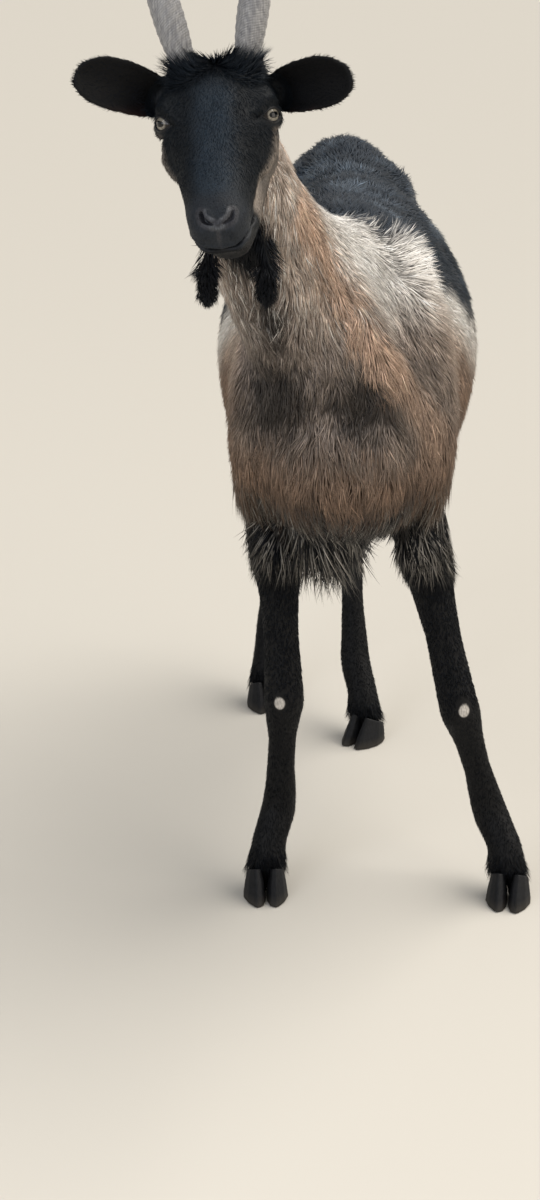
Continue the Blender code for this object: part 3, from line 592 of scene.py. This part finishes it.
def markings(points, nodes, strand):
    """The coat's colour at places. strand is 0, or each tuft's own random -1 to 1, which
    scatters the edges between two colours over a few centimetres, as hair does."""
    x, y, z = points.T
    local = in_head(points)
    hx, hy, hz = np.abs(local[:, 0]), local[:, 1], local[:, 2]
    broad, fine = clouds(points, 0.060, 3), clouds(points, 0.022, 4)
    waver = 0.5 * strand + 0.35 * fine + 0.3 * broad
    colours = np.tile(PALETTE["brown"], (len(points), 1))

    def edge(value, ragged, start, end):
        return soft(value + ragged * waver, start, end)

    def paint(name, share):
        nonlocal colours
        share = np.clip(share, 0, 1)[:, None]
        colours = colours + (PALETTE[name] - colours) * share

    across = np.abs(x - MIDLINE - np.interp(z, FRONT_Z, FRONT_X))
    chest = edge(-y, 0.010, 0.150, 0.215)
    high = soft(z, 0.575, 0.68)
    paint("dark_brown", edge(0.50 - z, 0.03, 0.0, 0.07) * 0.8)
    paint("beige", edge(z, 0.02, 0.50, 0.58) * edge(0.14 - y, 0.03, 0, 0.14) * 0.75)
    paint("grey_brown", chest * edge(z, 0.02, 0.44, 0.50))
    paint("brown", chest * edge(0.525 - z, 0.02, 0, 0.05) * 0.75)
    paint("beige", chest * high * edge(across, 0.012, 0.012, 0.040))
    dark_patches_and_shade = np.zeros(len(points))
    for middle, reach in DARK_PATCHES_AND_SHADE:
        spot = norms((points - middle) / reach)
        dark_patches_and_shade = np.maximum(dark_patches_and_shade, 1 - edge(spot, 0.35, 0.35, 1.35))
    # painted shade: the dark patches are partly the chest's own dark hair and partly shade painted
    # on it
    paint("dark", dark_patches_and_shade * 0.85)
    streak, _ = to_path(np.stack([across, y, z], axis=1), TAN_STREAK)
    streak = 1 - edge(streak, 0.010, 0.008, 0.032)
    paint("tan", streak * soft(z, 0.44, 0.52) * (0.60 + 0.30 * soft(z, 0.52, 0.60)))
    paint("white", 0.65 * chest * high * (1 - streak) * soft(strand, 0.2, 0.9))

    # the cape's edge runs across behind the withers and then back along the ribs
    above = z - np.interp(y, CAPE_Y, CAPE_Z)
    band = edge(0.068 + above, -0.002, 0.0, 0.06) * edge(0.15 - y, 0.03, 0.0, 0.16)
    band = np.maximum(band, edge(z, 0.012, 0.630, 0.665) * soft(-y, -0.05, 0.0))
    paint("white", band * soft(y, -0.245, -0.185) * 0.92)
    cape = edge(above, -0.012, -0.012, 0.020) * edge(y + 0.146, 0.020, -0.012, 0.022)
    cape = np.maximum(cape, edge(y, 0.02, 0.13, 0.26))
    # painted sheen: the cape's blue-grey is partly its own dark hair and partly a painted sheen of
    # the sky on black hair, and its paler cloudy patches high on the back are painted sheen too
    paint("cape", cape)
    paint("cape_sheen", cape * soft(broad + 0.8 * clouds(points, 0.035, 9), 0.2, 1.3) * 0.55
          * soft(z, 0.56, 0.64))
    paint("black", edge(0.420 + 0.042 * chest - z, 0.02, -0.02, 0.03))
    paint("black", edge(0.570 - z, 0.02, 0.0, 0.09) * edge(y, 0.02, 0.16, 0.26))

    on_head, on_ear = on_part(nodes, "head"), on_part(nodes, "ear")
    # the throat under the jaw is painted black: partly its own black hair, partly painted shade
    # under the jaw
    paint("black", 1 - edge(norms((points - BLACK_THROAT_AND_SHADE[0]) / BLACK_THROAT_AND_SHADE[1]), 0.15, 0.75, 1.1))
    paint("black", soft(hy, 0.030, 0.055) * edge(hz, 0.004, -0.045, -0.020))
    paint("black", on_part(nodes, "tail", "wattle"))
    paint("face", on_head)
    # painted sheen: a lighter blue-grey band down the middle of the nose, where light glosses the
    # black hair
    paint("bridge", on_head * (1 - edge(hx, 0.003, 0.006, 0.024)) * soft(-hy, -0.03, 0.01))
    cheek = np.full(len(points), 1.0)
    for shift in CHEEK_STRIPE_SHIFTS:
        path = np.array(CHEEK_STRIPE) + shift
        cheek = np.minimum(cheek, to_path(np.stack([hx, hy, hz], axis=1), path)[0])
    stripe = 1 - edge(cheek, 0.003, 0.003, 0.012)
    # the stripe is fainter on the goat's right cheek: partly its own marking and partly painted
    # shade on that side of the face
    paint("cheek", on_head * stripe * np.where(local[:, 0] > 0, 0.95, 0.55))
    jowl = edge(-hz, 0.008, 0.018, 0.036) * soft(hx, 0.018, 0.036) * (1 - soft(-hz, 0.055, 0.068))
    jowl *= soft(hy, -0.075, -0.04) * (1 - edge(hy, 0.006, 0.010, 0.035))
    paint("cheek", on_head * jowl * 0.55)
    paint("muzzle", on_head * edge(-hy, 0.004, 0.088, 0.104))
    paint("black", on_head * 0.85 * soft(-hz - 0.10 * (hy + 0.10), 0.0245, 0.0290)
          * soft(-hy, 0.085, 0.100))
    paint("black", on_ear)
    for side, word in SIDES.items():
        ear_edge = edge(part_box("ear_" + word)[0].z + 0.014 - z, 0.004, 0.0, 0.012)
        paint("rust", ear_edge * on_ear * (x * side > 0) * 0.35)
    high_leg = edge(z, 0.03, 0.36, 0.44) * edge(-y, 0.02, 0.02, 0.10)
    paint("black", on_part(nodes, "foreleg", "hindleg") * (1 - high_leg))
    lock = soft(z, 0.335, 0.375) * (1 - soft(z, 0.43, 0.47)) * edge(-y, 0.02, 0.10, 0.15)
    paint("locks", lock * soft(strand, -0.2, 0.6) * 0.70)
    return colours


def give_colours(item, name, colours):
    """A colour attribute on the vertices of an object."""
    attribute = item.data.color_attributes.new(name=name, type="FLOAT_COLOR", domain="POINT")
    attribute.data.foreach_set("color", np.column_stack(
        [colours, np.ones(len(colours))]).astype(np.float32).ravel())


nodes, _ = nearest_solids(places)
# painted shade: the skin takes the coat's colours, darkened by this as the coat over it shades it
SKIN_SHADE = 0.75          # the skin is darker than the coat that shades it
skin_colours = markings(places, nodes, np.zeros(len(places))) * SKIN_SHADE
# the nostril rims are painted paler, partly their own grey and partly a painted highlight
for name, share in (("lid", eyelid), ("muzzle", bare * lips * (gap > 0)), ("pad", nose_pad),
                    # the lip line is painted shade in the crease between the lips
                    ("rim", rim * nose_pad), ("black", lip_crease_shade), ("callus", callus)):
    skin_colours += (PALETTE[name] - skin_colours) * share[:, None]
give_colours(skin, "coat", skin_colours)
give_colours(skin, "bare", np.tile(bare[:, None], (1, 3)))

# Hide: matt, with fine hair lying on it, which shows as streaks a millimetre wide. Where it is
# bare, on the nose and lids, it is finely cobbled leather with a slight moist gloss.
def fibres(material, flatten, scale, detail):
    """Noise that is stretched upwards, and the place that it reads."""
    where = add_node(material, "TexCoord").outputs["Object"]
    stretched = add_node(material, "Mapping", values={"Scale": (1.0, 1.0, flatten)},
                         links={"Vector": where})
    noise = add_node(material, "TexNoise", values={"Scale": scale, "Detail": detail},
                     links={"Vector": stretched})
    return noise, where


hide, shader = new_material("short_haired_hide", 0.6, Specular_IOR_Level=0.22)
coat_colour = add_node(hide, "Attribute", {"attribute_name": "coat"})
bare_share = add_node(hide, "Attribute", {"attribute_name": "bare"}).outputs["Fac"]
hairs, where = fibres(hide, 0.28, 900.0, 2.0)
shade = add_node(hide, "MapRange", values={"From Min": 0.35, "From Max": 0.65, "To Min": 0.7,
                                          "To Max": 1.25}, links={"Value": hairs})
tinted = add_node(hide, "VectorMath", {"operation": "SCALE"},
                  links={0: coat_colour, "Scale": shade})
gloss = add_node(hide, "MapRange", values={"To Min": 0.62, "To Max": 0.38},
                 links={"Value": bare_share})
cobbles = add_node(hide, "TexVoronoi", {"feature": "SMOOTH_F1"}, {"Scale": 800.0},
                   {"Vector": where})
relief = add_node(hide, "Mix", {"data_type": "FLOAT"},
                  links={"Factor": bare_share, "A": hairs, "B": cobbles})
bump = add_node(hide, "Bump", values={"Strength": 0.5, "Distance": 0.0006},
                links={"Height": relief})
wire(hide, shader, {"Base Color": tinted, "Roughness": gloss, "Normal": bump})
skin.data.materials.append(hide)
select(skin)
bpy.ops.object.shade_smooth()
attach(skin, "root")
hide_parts(*FLESH)


# ---------------------------------------------------------------- coat
# Hair grows in small tufts, each a closed three-sided spindle that is thickest at its middle.
# They are a few millimetres long on the face, ears and feet and a few centimetres on the
# trunk, overlap like thatch, and lie down and back along the body.
TUFTS = {   # their length and width, and how many grow on a square centimetre
    "trunk": (0.025, 0.00135, 31), "neck": (0.023, 0.0012, 34), "tail": (0.034, 0.0016, 26),
    "head": (0.0052, 0.0008, 50), "ear": (0.0042, 0.0008, 45), "wattle": (0.0070, 0.0011, 60),
    "foreleg_*_upper": (0.0065, 0.0011, 30), "hindleg_*_upper": (0.016, 0.0014, 20),
    "": (0.0055, 0.0009, 34)}
growth = by_part(nodes, TUFTS)
length, width = relaxed(growth[:, :2], ends, 1.0, 6).T.copy()
density = growth[:, 2] * 1e4
x, y, z = places.T
normals = read(skin, "normal")
hx, hy, hz = in_head(places).T
on_head, on_neck, on_trunk = (on_part(nodes, name) for name in ("head", "neck", "trunk"))
legs = on_part(nodes, "foreleg", "hindleg")
density *= 1 - on_trunk * (0.45 * soft(y, 0.04, 0.16) + 0.25 * soft(-normals[:, 2], 0.3, 0.8))
brisket = soft(0.50 - z, 0.0, 0.07) * soft(-y, 0.06, 0.16) * soft(z, 0.33, 0.36)
length += 0.014 * brisket
# the brisket ends in a lobe of long hanging hair between the forelegs
LOBE = ((-0.002, -0.165, 0.405), (0.050, 0.060, 0.050))
lobe = 1 - soft(norms((places - LOBE[0]) / LOBE[1]), 0.5, 1.1)
length += 0.020 * lobe * on_trunk
length += 0.018 * legs * soft(z, 0.31, 0.40) * soft(-y, 0.0, 0.05)
coronet = legs * (1 - soft(z, 0.036, 0.052))
length += 0.010 * coronet
muzzle = on_head * soft(-hy, 0.06, 0.10)
length *= 1 - 0.45 * muzzle
width *= 1 - 0.25 * muzzle
length *= 1 - 0.6 * np.clip(evened(bare, ends, 8) * 3, 0, 1)
density *= (1 - (bare > 0.4)) * (1 - (callus_clear > 0.5))

# round each horn's root, the hair stands up along the horn, and between them it falls forward;
# the root and the axis of the left one are in the head's frame
HORN_ROOT = (0.0255, 0.040, 0.030)
HORN_AXIS = np.array((0.225, 0.487, 0.844))
rise = 0.10 * coronet + 0.7 * lobe * on_trunk
rise -= 0.12 * (legs + brisket * (1 - lobe)) * soft(z, 0.33, 0.40) * soft(-y, 0.0, 0.05)
up_horn = np.zeros((len(places), 3))
for side in SIDES:
    from_root = in_head(places) - (HORN_ROOT[0] * side, *HORN_ROOT[1:])
    axis = HORN_AXIS * (side, 1, 1)
    off = from_root - (from_root @ axis)[:, None] * axis
    share = on_head * soft(0.028 - norms(off), 0.0, 0.010)
    share *= 1 - 0.65 * soft(off[:, 0] * side, 0.004, 0.016)
    rise = np.maximum(rise, 0.62 * share)
    up_horn += (axis - off / 0.030) @ head_axes * share[:, None]
between = on_head * soft(0.020 - np.abs(hx), 0.0, 0.012) * soft(hy, 0.018, 0.034)
between *= 1 - soft(hy, 0.048, 0.058)
rise = np.maximum(rise, 0.42 * between)
length += on_head * (0.016 * rise + 0.003 * between)
width += on_head * 0.0003 * np.maximum(rise, between)

# the lie of the coat at each vertex, before it is laid along the skin: its direction by part,
# and the share by which it turns that way
flank = soft(np.abs(normals[:, 0]), 0.3, 0.9)
back_of_head = on_head * np.maximum(soft(hy, 0.030, 0.048),
                                    soft(-hz, 0.030, 0.05) * soft(hy, -0.03, 0.0))
aside = soft(np.abs(hx), 0.004, 0.030)
down_face = np.stack([0.75 * np.sign(hx) * aside, 0.25 * aside - 1, -0.6 * aside], axis=1)
swirl = soft(z, 0.33, 0.38) * (1 - soft(z, 0.43, 0.48)) * soft(-y, 0.08, 0.15)
swirl *= legs * soft(-normals[:, 1], 0.55, 0.95) * np.sign(x - MIDLINE)
lie = np.tile((0.0, 1.0, -0.45), (len(places), 1))
for direction, share in (
        ((0.0, 0.62, -0.78), flank * soft(0.20 - y, 0.0, 0.2)),
        ((0.0, 0.10, -1.0), soft(-y, 0.13, 0.21) * soft(-normals[:, 1], -0.1, 0.35)),
        ((0.0, 0.55, -0.85), soft(y, 0.28, 0.38)),
        ((0.30, 0.62, -0.85), on_neck * soft(z, 0.58, 0.64)),
        ((0.12, 0.10, -1.0), on_neck * soft(-normals[:, 1], 0.1, 0.5)),
        ((0.0, 0.12, -1.0), legs * soft(0.50 - z, 0, 0.08)),
        ((0.0, -0.25, -1.0), on_part(nodes, "wattle")),
        ((0.0, 0.25, -1.0), on_part(nodes, "tail")),
        ((1.0, 0.0, 0.12), on_part(nodes, "ear_left")),
        ((-1.0, 0.0, 0.12), on_part(nodes, "ear_right")),
        (down_face @ head_axes, on_head),
        ((0.0, 0.6, -0.8) @ head_axes, back_of_head),
        ((0.0, -0.2, 0.8) @ head_axes, between)):
    lie += (np.asarray(direction) - lie) * np.clip(share, 0, 1)[:, None]
lie[:, 0] += 0.35 * swirl
horny = (rise * on_head)[:, None]
lie = lie * (1 - horny) + up_horn * horny
lie = relaxed(lie, ends, 1.0, 4)


def roots(chosen, seed):
    """Evenly spread roots on the skin's triangles: their places and all that grows there."""
    chance = np.random.default_rng(seed)
    corners = triangles[chosen]
    a, b, c = (places[corners[:, k]] for k in range(3))
    area = norms(np.cross(b - a, c - a)) / 2
    wanted = np.cumsum(area * density[corners].mean(axis=1))
    picks = np.searchsorted(wanted, np.arange(0.5, wanted[-1]))
    picks = np.minimum(picks, len(corners) - 1)
    weights = chance.uniform(size=(len(picks), 2))
    folded = weights.sum(axis=1) > 1
    weights[folded] = 1 - weights[folded]
    weights = np.column_stack([1 - weights.sum(axis=1), weights])
    corners = corners[picks]
    found = {what: np.einsum("nk,nk...->n...", weights, values[corners]) for what, values in (
        ("place", places), ("normal", normals), ("lie", lie), ("length", length),
        ("width", width), ("rise", rise))}
    found["normal"] /= norms(found["normal"])[:, None]
    return {**found, "node": nodes[corners[:, 0]]}


def unwrapped(points, axis):
    """A chart of the skin under the roots: the angle round a body part's own curved middle,
    and the place along it, both from 0.01 to 0.99."""
    along = points[:, axis]
    others = [k for k in range(3) if k != axis]
    sideways = [points[:, k] - np.polyval(np.polyfit(along, points[:, k], 3), along)
                for k in others]
    chart = np.stack([np.arctan2(sideways[1], sideways[0]), along], axis=1)
    low, high = chart.min(axis=0), chart.max(axis=0)
    return 0.01 + 0.98 * (chart - low) / (high - low)


TUFT_BACK = [(1, 2, 0), (2, 3, 0), (3, 1, 0)]      # root, a ring of three, and the tip
TUFT_FRONT = [(2, 1, 4), (3, 2, 4), (1, 3, 4)]
STUB = [(0, 1, 2), (1, 0, 3), (2, 1, 3), (0, 2, 3)]  # a ring of three at the root, and the tip
RING_AT = 0.42             # a tuft is thickest at this share of its length
# a tuft's patch on the chart, 0.003 from its root to its tip
TUFT_PATCH = np.array([(0.0, -1.0), (-0.9, -0.1), (0.9, -0.1), (0.0, 0.2), (0.0, 1.0)]) * 0.0015
# painted shade and highlight: a tuft is darkened towards its root, where shade falls deep in the
# coat, and the top edge of its ring is lighter than its sides; its paler tip is partly the hair's
# own lighter end
TUFT_SHADE_AND_PALE_TIPS = [0.5, 0.9, 0.9, 1.0, 1.25]      # of a long tuft, from its root to its tip
STUB_SHADE_AND_PALE_TIPS = [0.86, 0.86, 0.92, 1.06]
ROOT_SUNK = 0.0006
FLOOR_CLEAR = 0.0008       # no tip is lower than this
THICK, RAGGED = 0.36, 0.13   # a tuft's thickness by its width, and how unevenly it lies


def grow(name, found, chart, long, lift, droop, seed):
    """One object of closed three-sided tufts. Long ones are spindles, short ones are stubs."""
    chance = np.random.default_rng(seed)
    place, normal = found["place"], found["normal"]
    count = len(place)
    length = found["length"] * chance.uniform(0.75, 1.25, count)
    width = found["width"] * chance.uniform(0.7, 1.3, count)
    sway = RAGGED * (1.5 * clouds(place * (1, 1, 0.45), 0.013, seed + 1)
                     + 0.8 * chance.normal(size=count))
    along = found["lie"] - normal * (found["lie"] * normal).sum(axis=1)[:, None]
    along /= norms(along)[:, None]
    side = np.cross(along, normal)
    along = along * np.cos(sway)[:, None] + side * np.sin(sway)[:, None]
    side = np.cross(along, normal)
    lift = lift * chance.uniform(0.7, 1.35, count) + found["rise"]
    curl = 0.09 * chance.normal(size=count) + 0.12 * clouds(place, 0.03, seed + 2)
    t = RING_AT if long else 0.0
    sunk = place - normal * ROOT_SUNK
    middle = (sunk + along * (length * t)[:, None]
              + normal * (length * (lift * t - droop * t * t))[:, None]
              + side * (length * curl * t * t)[:, None])
    half = (width * 0.5)[:, None]
    tip = (place + along * length[:, None] + normal * (length * (lift - droop))[:, None]
           + side * (length * curl)[:, None])
    tip[:, 2] = np.maximum(tip[:, 2], FLOOR_CLEAR)
    rows = [middle - side * half, middle + side * half, middle + normal * half * 2 * THICK, tip]
    faces = TUFT_BACK + TUFT_FRONT if long else STUB
    if long:
        rows.insert(0, sunk)
    points = np.stack(rows, axis=1)
    size = points.shape[1]
    pattern = np.concatenate(faces)
    loops = (np.arange(count)[:, None] * size + pattern).ravel()
    loop_starts = np.arange(count * len(faces)) * 3
    data = bpy.data.meshes.new(name)
    data.vertices.add(count * size)
    data.vertices.foreach_set("co", points.astype(np.float32).ravel())
    data.loops.add(len(loops))
    data.loops.foreach_set("vertex_index", loops.astype(np.int32))
    data.polygons.add(len(loop_starts))
    data.polygons.foreach_set("loop_start", loop_starts.astype(np.int32))
    data.update(calc_edges=True)
    data.polygons.foreach_set("use_smooth", np.ones(len(loop_starts), bool))

    patch = TUFT_PATCH if long else TUFT_PATCH[1:]
    unwrap = (chart[:, None] + patch[None, pattern]).reshape(-1, 2)
    layer = data.uv_layers.new(name="OFBake")
    layer.uv.foreach_set("vector", unwrap.astype(np.float32).ravel())

    item = bpy.data.objects.new(name, data)
    bpy.context.scene.collection.objects.link(item)
    colour = markings(place, found["node"], chance.uniform(-1, 1, count))
    streaks = clouds(place * (1, 1, 0.35), 0.009, seed + 5)
    colour = colour * np.exp(0.22 * chance.normal(size=count) + 0.20 * streaks)[:, None]
    shades = np.array(TUFT_SHADE_AND_PALE_TIPS if long else STUB_SHADE_AND_PALE_TIPS)
    tints = np.clip(colour[:, None] * shades[None, :, None], 0, 1)
    give_colours(item, "coat", tints.reshape(-1, 3))
    data.materials.append(hair)
    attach(item, "root")


# Hair: keratin, with a soft lengthwise gloss. Under a wide lamp it shows as a satin sheen that
# is cooler than the hair itself.
hair, shader = new_material("goat_hair", 0.52, Specular_IOR_Level=0.27,
                            Specular_Tint=linear("#c8d4e6"))
strand_colour = add_node(hair, "Attribute", {"attribute_name": "coat"})
wire(hair, shader, {"Base Color": strand_colour})

skin.data.calc_loop_triangles()
triangles = read(skin, "vertices", "loop_triangles", 3, int)
middles = places[triangles].mean(axis=1)
part_of = np.array(FLESH)[nodes[triangles[:, 0]]]
TRUNK_PIECES = 4           # along it, on each side
trunk_low, trunk_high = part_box("trunk")
cuts = np.linspace(trunk_low.y, trunk_high.y, TRUNK_PIECES + 1)
cuts[[0, -1]] = -np.inf, np.inf
pieces = []                # name, its triangles, the chart's axis, long or not, lift, droop
for k in range(TRUNK_PIECES):
    for side, word in SIDES.items():
        chosen = (part_of == "trunk") & ((middles[:, 0] - MIDLINE) * side > 0)
        chosen &= (middles[:, 1] >= cuts[k]) & (middles[:, 1] < cuts[k + 1])
        pieces.append(("coat_trunk_%s_%d" % (word, k + 1), chosen, 1, True, 0.27, 0.15))
pieces += [("coat_neck", part_of == "neck", 2, True, 0.27, 0.15),
           ("coat_tail", part_of == "tail", 2, True, 0.34, 0.18),
           ("coat_head", part_of == "head", 1, False, 0.14, 0.03)]
for word in SIDES.values():
    pieces += [("coat_ear_" + word, part_of == "ear_" + word, 0, False, 0.14, 0.02),
               ("coat_wattle_" + word, part_of == "wattle_" + word, 2, True, 0.85, 0.35)]
    for leg in ("foreleg_" + word, "hindleg_" + word):
        shank = (part_of == leg + "_lower") | (part_of == leg + "_foot")
        pieces += [("coat_" + leg + "_thigh", part_of == leg + "_upper", 2, True, 0.25, 0.13),
                   ("coat_" + leg, shank, 2, False, 0.17, 0.04)]
for seed, (name, chosen, axis, long, lift, droop) in enumerate(pieces):
    found = roots(chosen, 100 + seed)
    around = in_head(found["place"]) if name == "coat_head" else found["place"]
    grow(name, found, unwrapped(around, axis), long, lift, droop, 200 + 10 * seed)


# ---------------------------------------------------------------- eyes
# Each eye is a wet ball with a bulging clear front over a grey-brown iris. The pupil is a level
# slot with round ends, and a dark ring bounds the iris.
IRIS_RADIUS = 0.0060
PUPIL_HALF = 0.0045
PUPIL_UP = 0.0025
CORNEA_BULGE = 0.0009
IRIS_TONES = ((0.35, "#5c574e"), (0.65, "#8f897d"))


def wet_eye(name, middle, axes):
    """Cornea: very smooth and clear, so the iris and pupil show in colour under its gloss."""
    eye, shader = new_material(name, 0.04, IOR=1.38, Coat_Weight=0.2, Coat_Roughness=0.02)
    where = add_node(eye, "TexCoord").outputs["Object"]
    shifted = add_node(eye, "VectorMath", {"operation": "SUBTRACT"}, {1: middle}, {0: where})
    level, upward = (add_node(eye, "VectorMath", {"operation": "DOT_PRODUCT"}, {1: axis},
                              {0: shifted}) for axis in axes[:2])
    flat = add_node(eye, "CombineXYZ", links={0: level, 1: upward})
    radius = add_node(eye, "VectorMath", {"operation": "LENGTH"}, links={0: flat})
    rays = add_node(eye, "VectorMath", {"operation": "NORMALIZE"}, links={0: flat})
    streaks = add_node(eye, "TexNoise", values={"Scale": 5.0, "Detail": 3.0},
                       links={"Vector": rays})
    iris = add_node(eye, "ValToRGB", links={"Fac": streaks})
    for stop, (place, tone) in zip(iris.color_ramp.elements, IRIS_TONES):
        stop.position, stop.color = place, linear(tone)
    edge = add_node(eye, "MapRange", values={"From Min": IRIS_RADIUS - 0.0012,
                                             "From Max": IRIS_RADIUS}, links={"Value": radius})
    ringed = add_node(eye, "Mix", {"data_type": "RGBA"}, {7: linear("#1b1512")},
                      {0: edge, 6: iris})
    # the slot is where (across / half)^2.6 + (up / half)^2.2 is under 1
    slot = add_node(eye, "VectorMath", {"operation": "ABSOLUTE"}, links={0: flat})
    for operation, value in (("DIVIDE", (PUPIL_HALF, PUPIL_UP, 1)), ("POWER", (2.6, 2.2, 1)),
                             ("DOT_PRODUCT", (1, 1, 0))):
        slot = add_node(eye, "VectorMath", {"operation": operation}, {1: value}, {0: slot})
    dark = add_node(eye, "MapRange", values={"From Min": 1.15, "From Max": 0.85},
                    links={"Value": slot})
    painted = add_node(eye, "Mix", {"data_type": "RGBA"}, {7: linear("#07080b")},
                       {0: dark, 6: ringed})
    wire(eye, shader, {"Base Color": painted})
    return eye


for side, word in SIDES.items():
    middle, axes = eye_frame(side)
    bpy.ops.mesh.primitive_uv_sphere_add(segments=48, ring_count=24, radius=EYE_RADIUS - 0.0002)
    ball = bpy.context.object
    ball.name = "eyeball_" + word
    spots = read(ball, "co")
    off_axis = norms(spots[:, :2])
    bulge = CORNEA_BULGE * (1 - soft(off_axis, 0.2 * IRIS_RADIUS, 1.15 * IRIS_RADIUS))
    spots[:, 2] += bulge * (spots[:, 2] > 0)
    place_vertices(ball, spots @ axes + middle)
    bpy.ops.object.shade_smooth()
    ball.data.materials.append(wet_eye("wet_eye_" + word, middle, axes))
    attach(ball, "root")
    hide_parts("eye_" + word)


# ---------------------------------------------------------------- horns
# Two slender horns of grey keratin, oval in section, that lean apart and back. The sheath is
# ringed by fine ridges, which crowd together at its root, and its colour is darkened in the
# grooves between them by painted shade.
def keratin(name, roughness, specular, fibre_size, tones, relief):
    """Horn or hoof: dull and hard, with fibres along it in two tones that stand out a little."""
    material, shader = new_material(name, roughness, Specular_IOR_Level=specular)
    strands, where = fibres(material, *fibre_size)
    toned = add_node(material, "ValToRGB", links={"Fac": strands})
    for stop, (place, tone) in zip(toned.color_ramp.elements, tones):
        stop.position, stop.color = place, linear(tone)
    bump = add_node(material, "Bump", values={"Strength": relief, "Distance": 0.0004},
                    links={"Height": strands})
    wire(material, shader, {"Normal": bump})
    return material, shader, toned, where


HORN_SIDES = 36
HORN_STEPS = 220
RIDGE_SPACING = 0.0031
HORN_TONES = ((0.3, "#76767a"), (0.7, "#a3a2a1"))
horn_sheath, shader, tone, _ = keratin("ridged_horn", 0.5, 0.4, (0.12, 700.0, 4.0),
                                       HORN_TONES, 0.12)
painted_groove_shade = add_node(horn_sheath, "Attribute", {"attribute_name": "ridge"})
ridged = add_node(horn_sheath, "VectorMath", {"operation": "SCALE"},
                  links={0: tone, "Scale": painted_groove_shade.outputs["Fac"]})
wire(horn_sheath, shader, {"Base Color": ridged})

for side, word in SIDES.items():
    corners = read(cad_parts["horn_" + word], "co")
    root = corners.mean(axis=0)
    spread = corners - root
    axis = np.linalg.svd(spread, full_matrices=False)[2][0]
    axis = axis * np.sign(axis[2])
    along = spread @ axis
    start, end = along.min(), along.max()
    bend = np.polyfit(along, spread - along[:, None] * axis, 3)

    def on_line(level):
        """The middle of the horn at a height along it."""
        return np.vander(level, 4) @ bend + level[:, None] * axis
    girth = np.polyfit(along, norms(spread - on_line(along)), 4)
    bpy.ops.mesh.primitive_grid_add(x_subdivisions=HORN_SIDES, y_subdivisions=HORN_STEPS, size=1)
    horn = bpy.context.object
    horn.name = "horn_sheath_" + word
    flat = read(horn, "co")
    angle = (flat[:, 0] + 0.5) * 2 * math.pi
    t = flat[:, 1] + 0.5
    level = start + (end - start) * t
    centre = on_line(level)
    ahead = np.cross(axis, (1.0, 0.0, 0.0))
    ahead /= np.linalg.norm(ahead)
    aside = np.cross(ahead, axis)
    girth_here = np.maximum(np.polyval(girth, level), 0.0008) * (1 - t ** 24) ** 0.5 * 1.02
    slant = level + 0.75 * girth_here * np.cos(angle) * side
    phase = slant / (RIDGE_SPACING * (0.75 + 0.5 * t)) * 2 * math.pi
    ridge = (0.5 + 0.5 * np.sin(phase + 0.8 * clouds(centre, 0.05, 31))) ** 0.8
    major = 0.5 + 0.5 * np.sin(phase / 3.4)
    fade = 1 - soft(t, 0.55, 0.95)
    girth_here += (0.00042 * ridge + 0.0005 * major) * fade - 0.0003
    girth_here = np.maximum(girth_here, 0) * (t < 1)
    oval = (aside * (np.cos(angle) * girth_here * 0.94)[:, None]
            + ahead * (np.sin(angle) * girth_here * 1.04)[:, None])
    place_vertices(horn, root + centre + oval * (t >= 1e-6)[:, None])
    # painted shade: each groove between the ridges is painted darker, and the crests lighter
    shade = (0.64 + 0.42 * ridge * fade + 0.36 * (1 - fade)) * (0.90 + 0.10 * major)
    give_colours(horn, "ridge", np.tile(shade[:, None], (1, 3)))
    bpy.ops.object.mode_set(mode="EDIT")
    bpy.ops.mesh.select_all(action="SELECT")
    bpy.ops.mesh.remove_doubles(threshold=1e-6)
    bpy.ops.mesh.normals_make_consistent(inside=False)
    bpy.ops.object.mode_set(mode="OBJECT")
    bpy.ops.object.shade_smooth()
    horn.data.materials.append(horn_sheath)
    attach(horn, "root")
    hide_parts("horn_" + word)


# ---------------------------------------------------------------- hooves
# Eight claws of dark grey keratin, with growth rings round their walls and a worn, dusty edge.
HOOF_TONES = ((0.3, "#08090b"), (0.75, "#16171b"))
RING_SPACING = 0.0042
RING_DEPTH = 0.00044
hoof_wall, shader, tone, where = keratin("hoof_keratin", 0.6, 0.22, (0.2, 600.0, 3.0),
                                         HOOF_TONES, 0.3)
height = add_node(hoof_wall, "SeparateXYZ", links={"Vector": where})
dusty = add_node(hoof_wall, "MapRange", values={"From Min": 0.010, "From Max": 0.0, "To Max": 0.25},
                 links={"Value": height.outputs["Z"]})
dusted = add_node(hoof_wall, "Mix", {"data_type": "RGBA"}, {7: linear("#5c554a")},
                  {0: dusty, 6: tone})
wire(hoof_wall, shader, {"Base Color": dusted})

for node in sorted(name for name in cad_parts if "claw" in name):
    claw = copied([node], "hoof_" + node.replace("_claw", ""))
    bpy.ops.object.mode_set(mode="EDIT")
    bpy.ops.mesh.select_all(action="SELECT")
    bpy.ops.mesh.dissolve_limited(angle_limit=math.radians(1))
    bpy.ops.object.mode_set(mode="OBJECT")
    modify(claw, "BEVEL", width=0.0014, segments=3, limit_method="ANGLE",
           angle_limit=math.radians(24))
    modify(claw, "TRIANGULATE")
    modify(claw, "SUBSURF", subdivision_type="SIMPLE", levels=2, render_levels=2)
    spots = read(claw, "co")
    ring_height = spots[:, 2] + 0.10 * spots[:, 1]
    wave = np.sin(ring_height / RING_SPACING * 2 * math.pi + 0.6 * clouds(spots, 0.02, 41))
    wall = soft(spots[:, 2], 0.0015, 0.004) * (1 - soft(spots[:, 2], 0.024, 0.030))
    spots -= read(claw, "normal") * (RING_DEPTH / 2 * (1 - wave) * wall)[:, None]
    middle = (spots.min(axis=0) + spots.max(axis=0)) / 2
    narrow = 1.01 - 0.30 * (spots[:, 2] / spots[:, 2].max()) ** 2
    spots[:, :2] = middle[:2] + (spots[:, :2] - middle[:2]) * narrow[:, None]
    place_vertices(claw, spots)
    bpy.ops.object.shade_smooth()
    claw.data.materials.append(hoof_wall)
    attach(claw, "root")
    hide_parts(node)
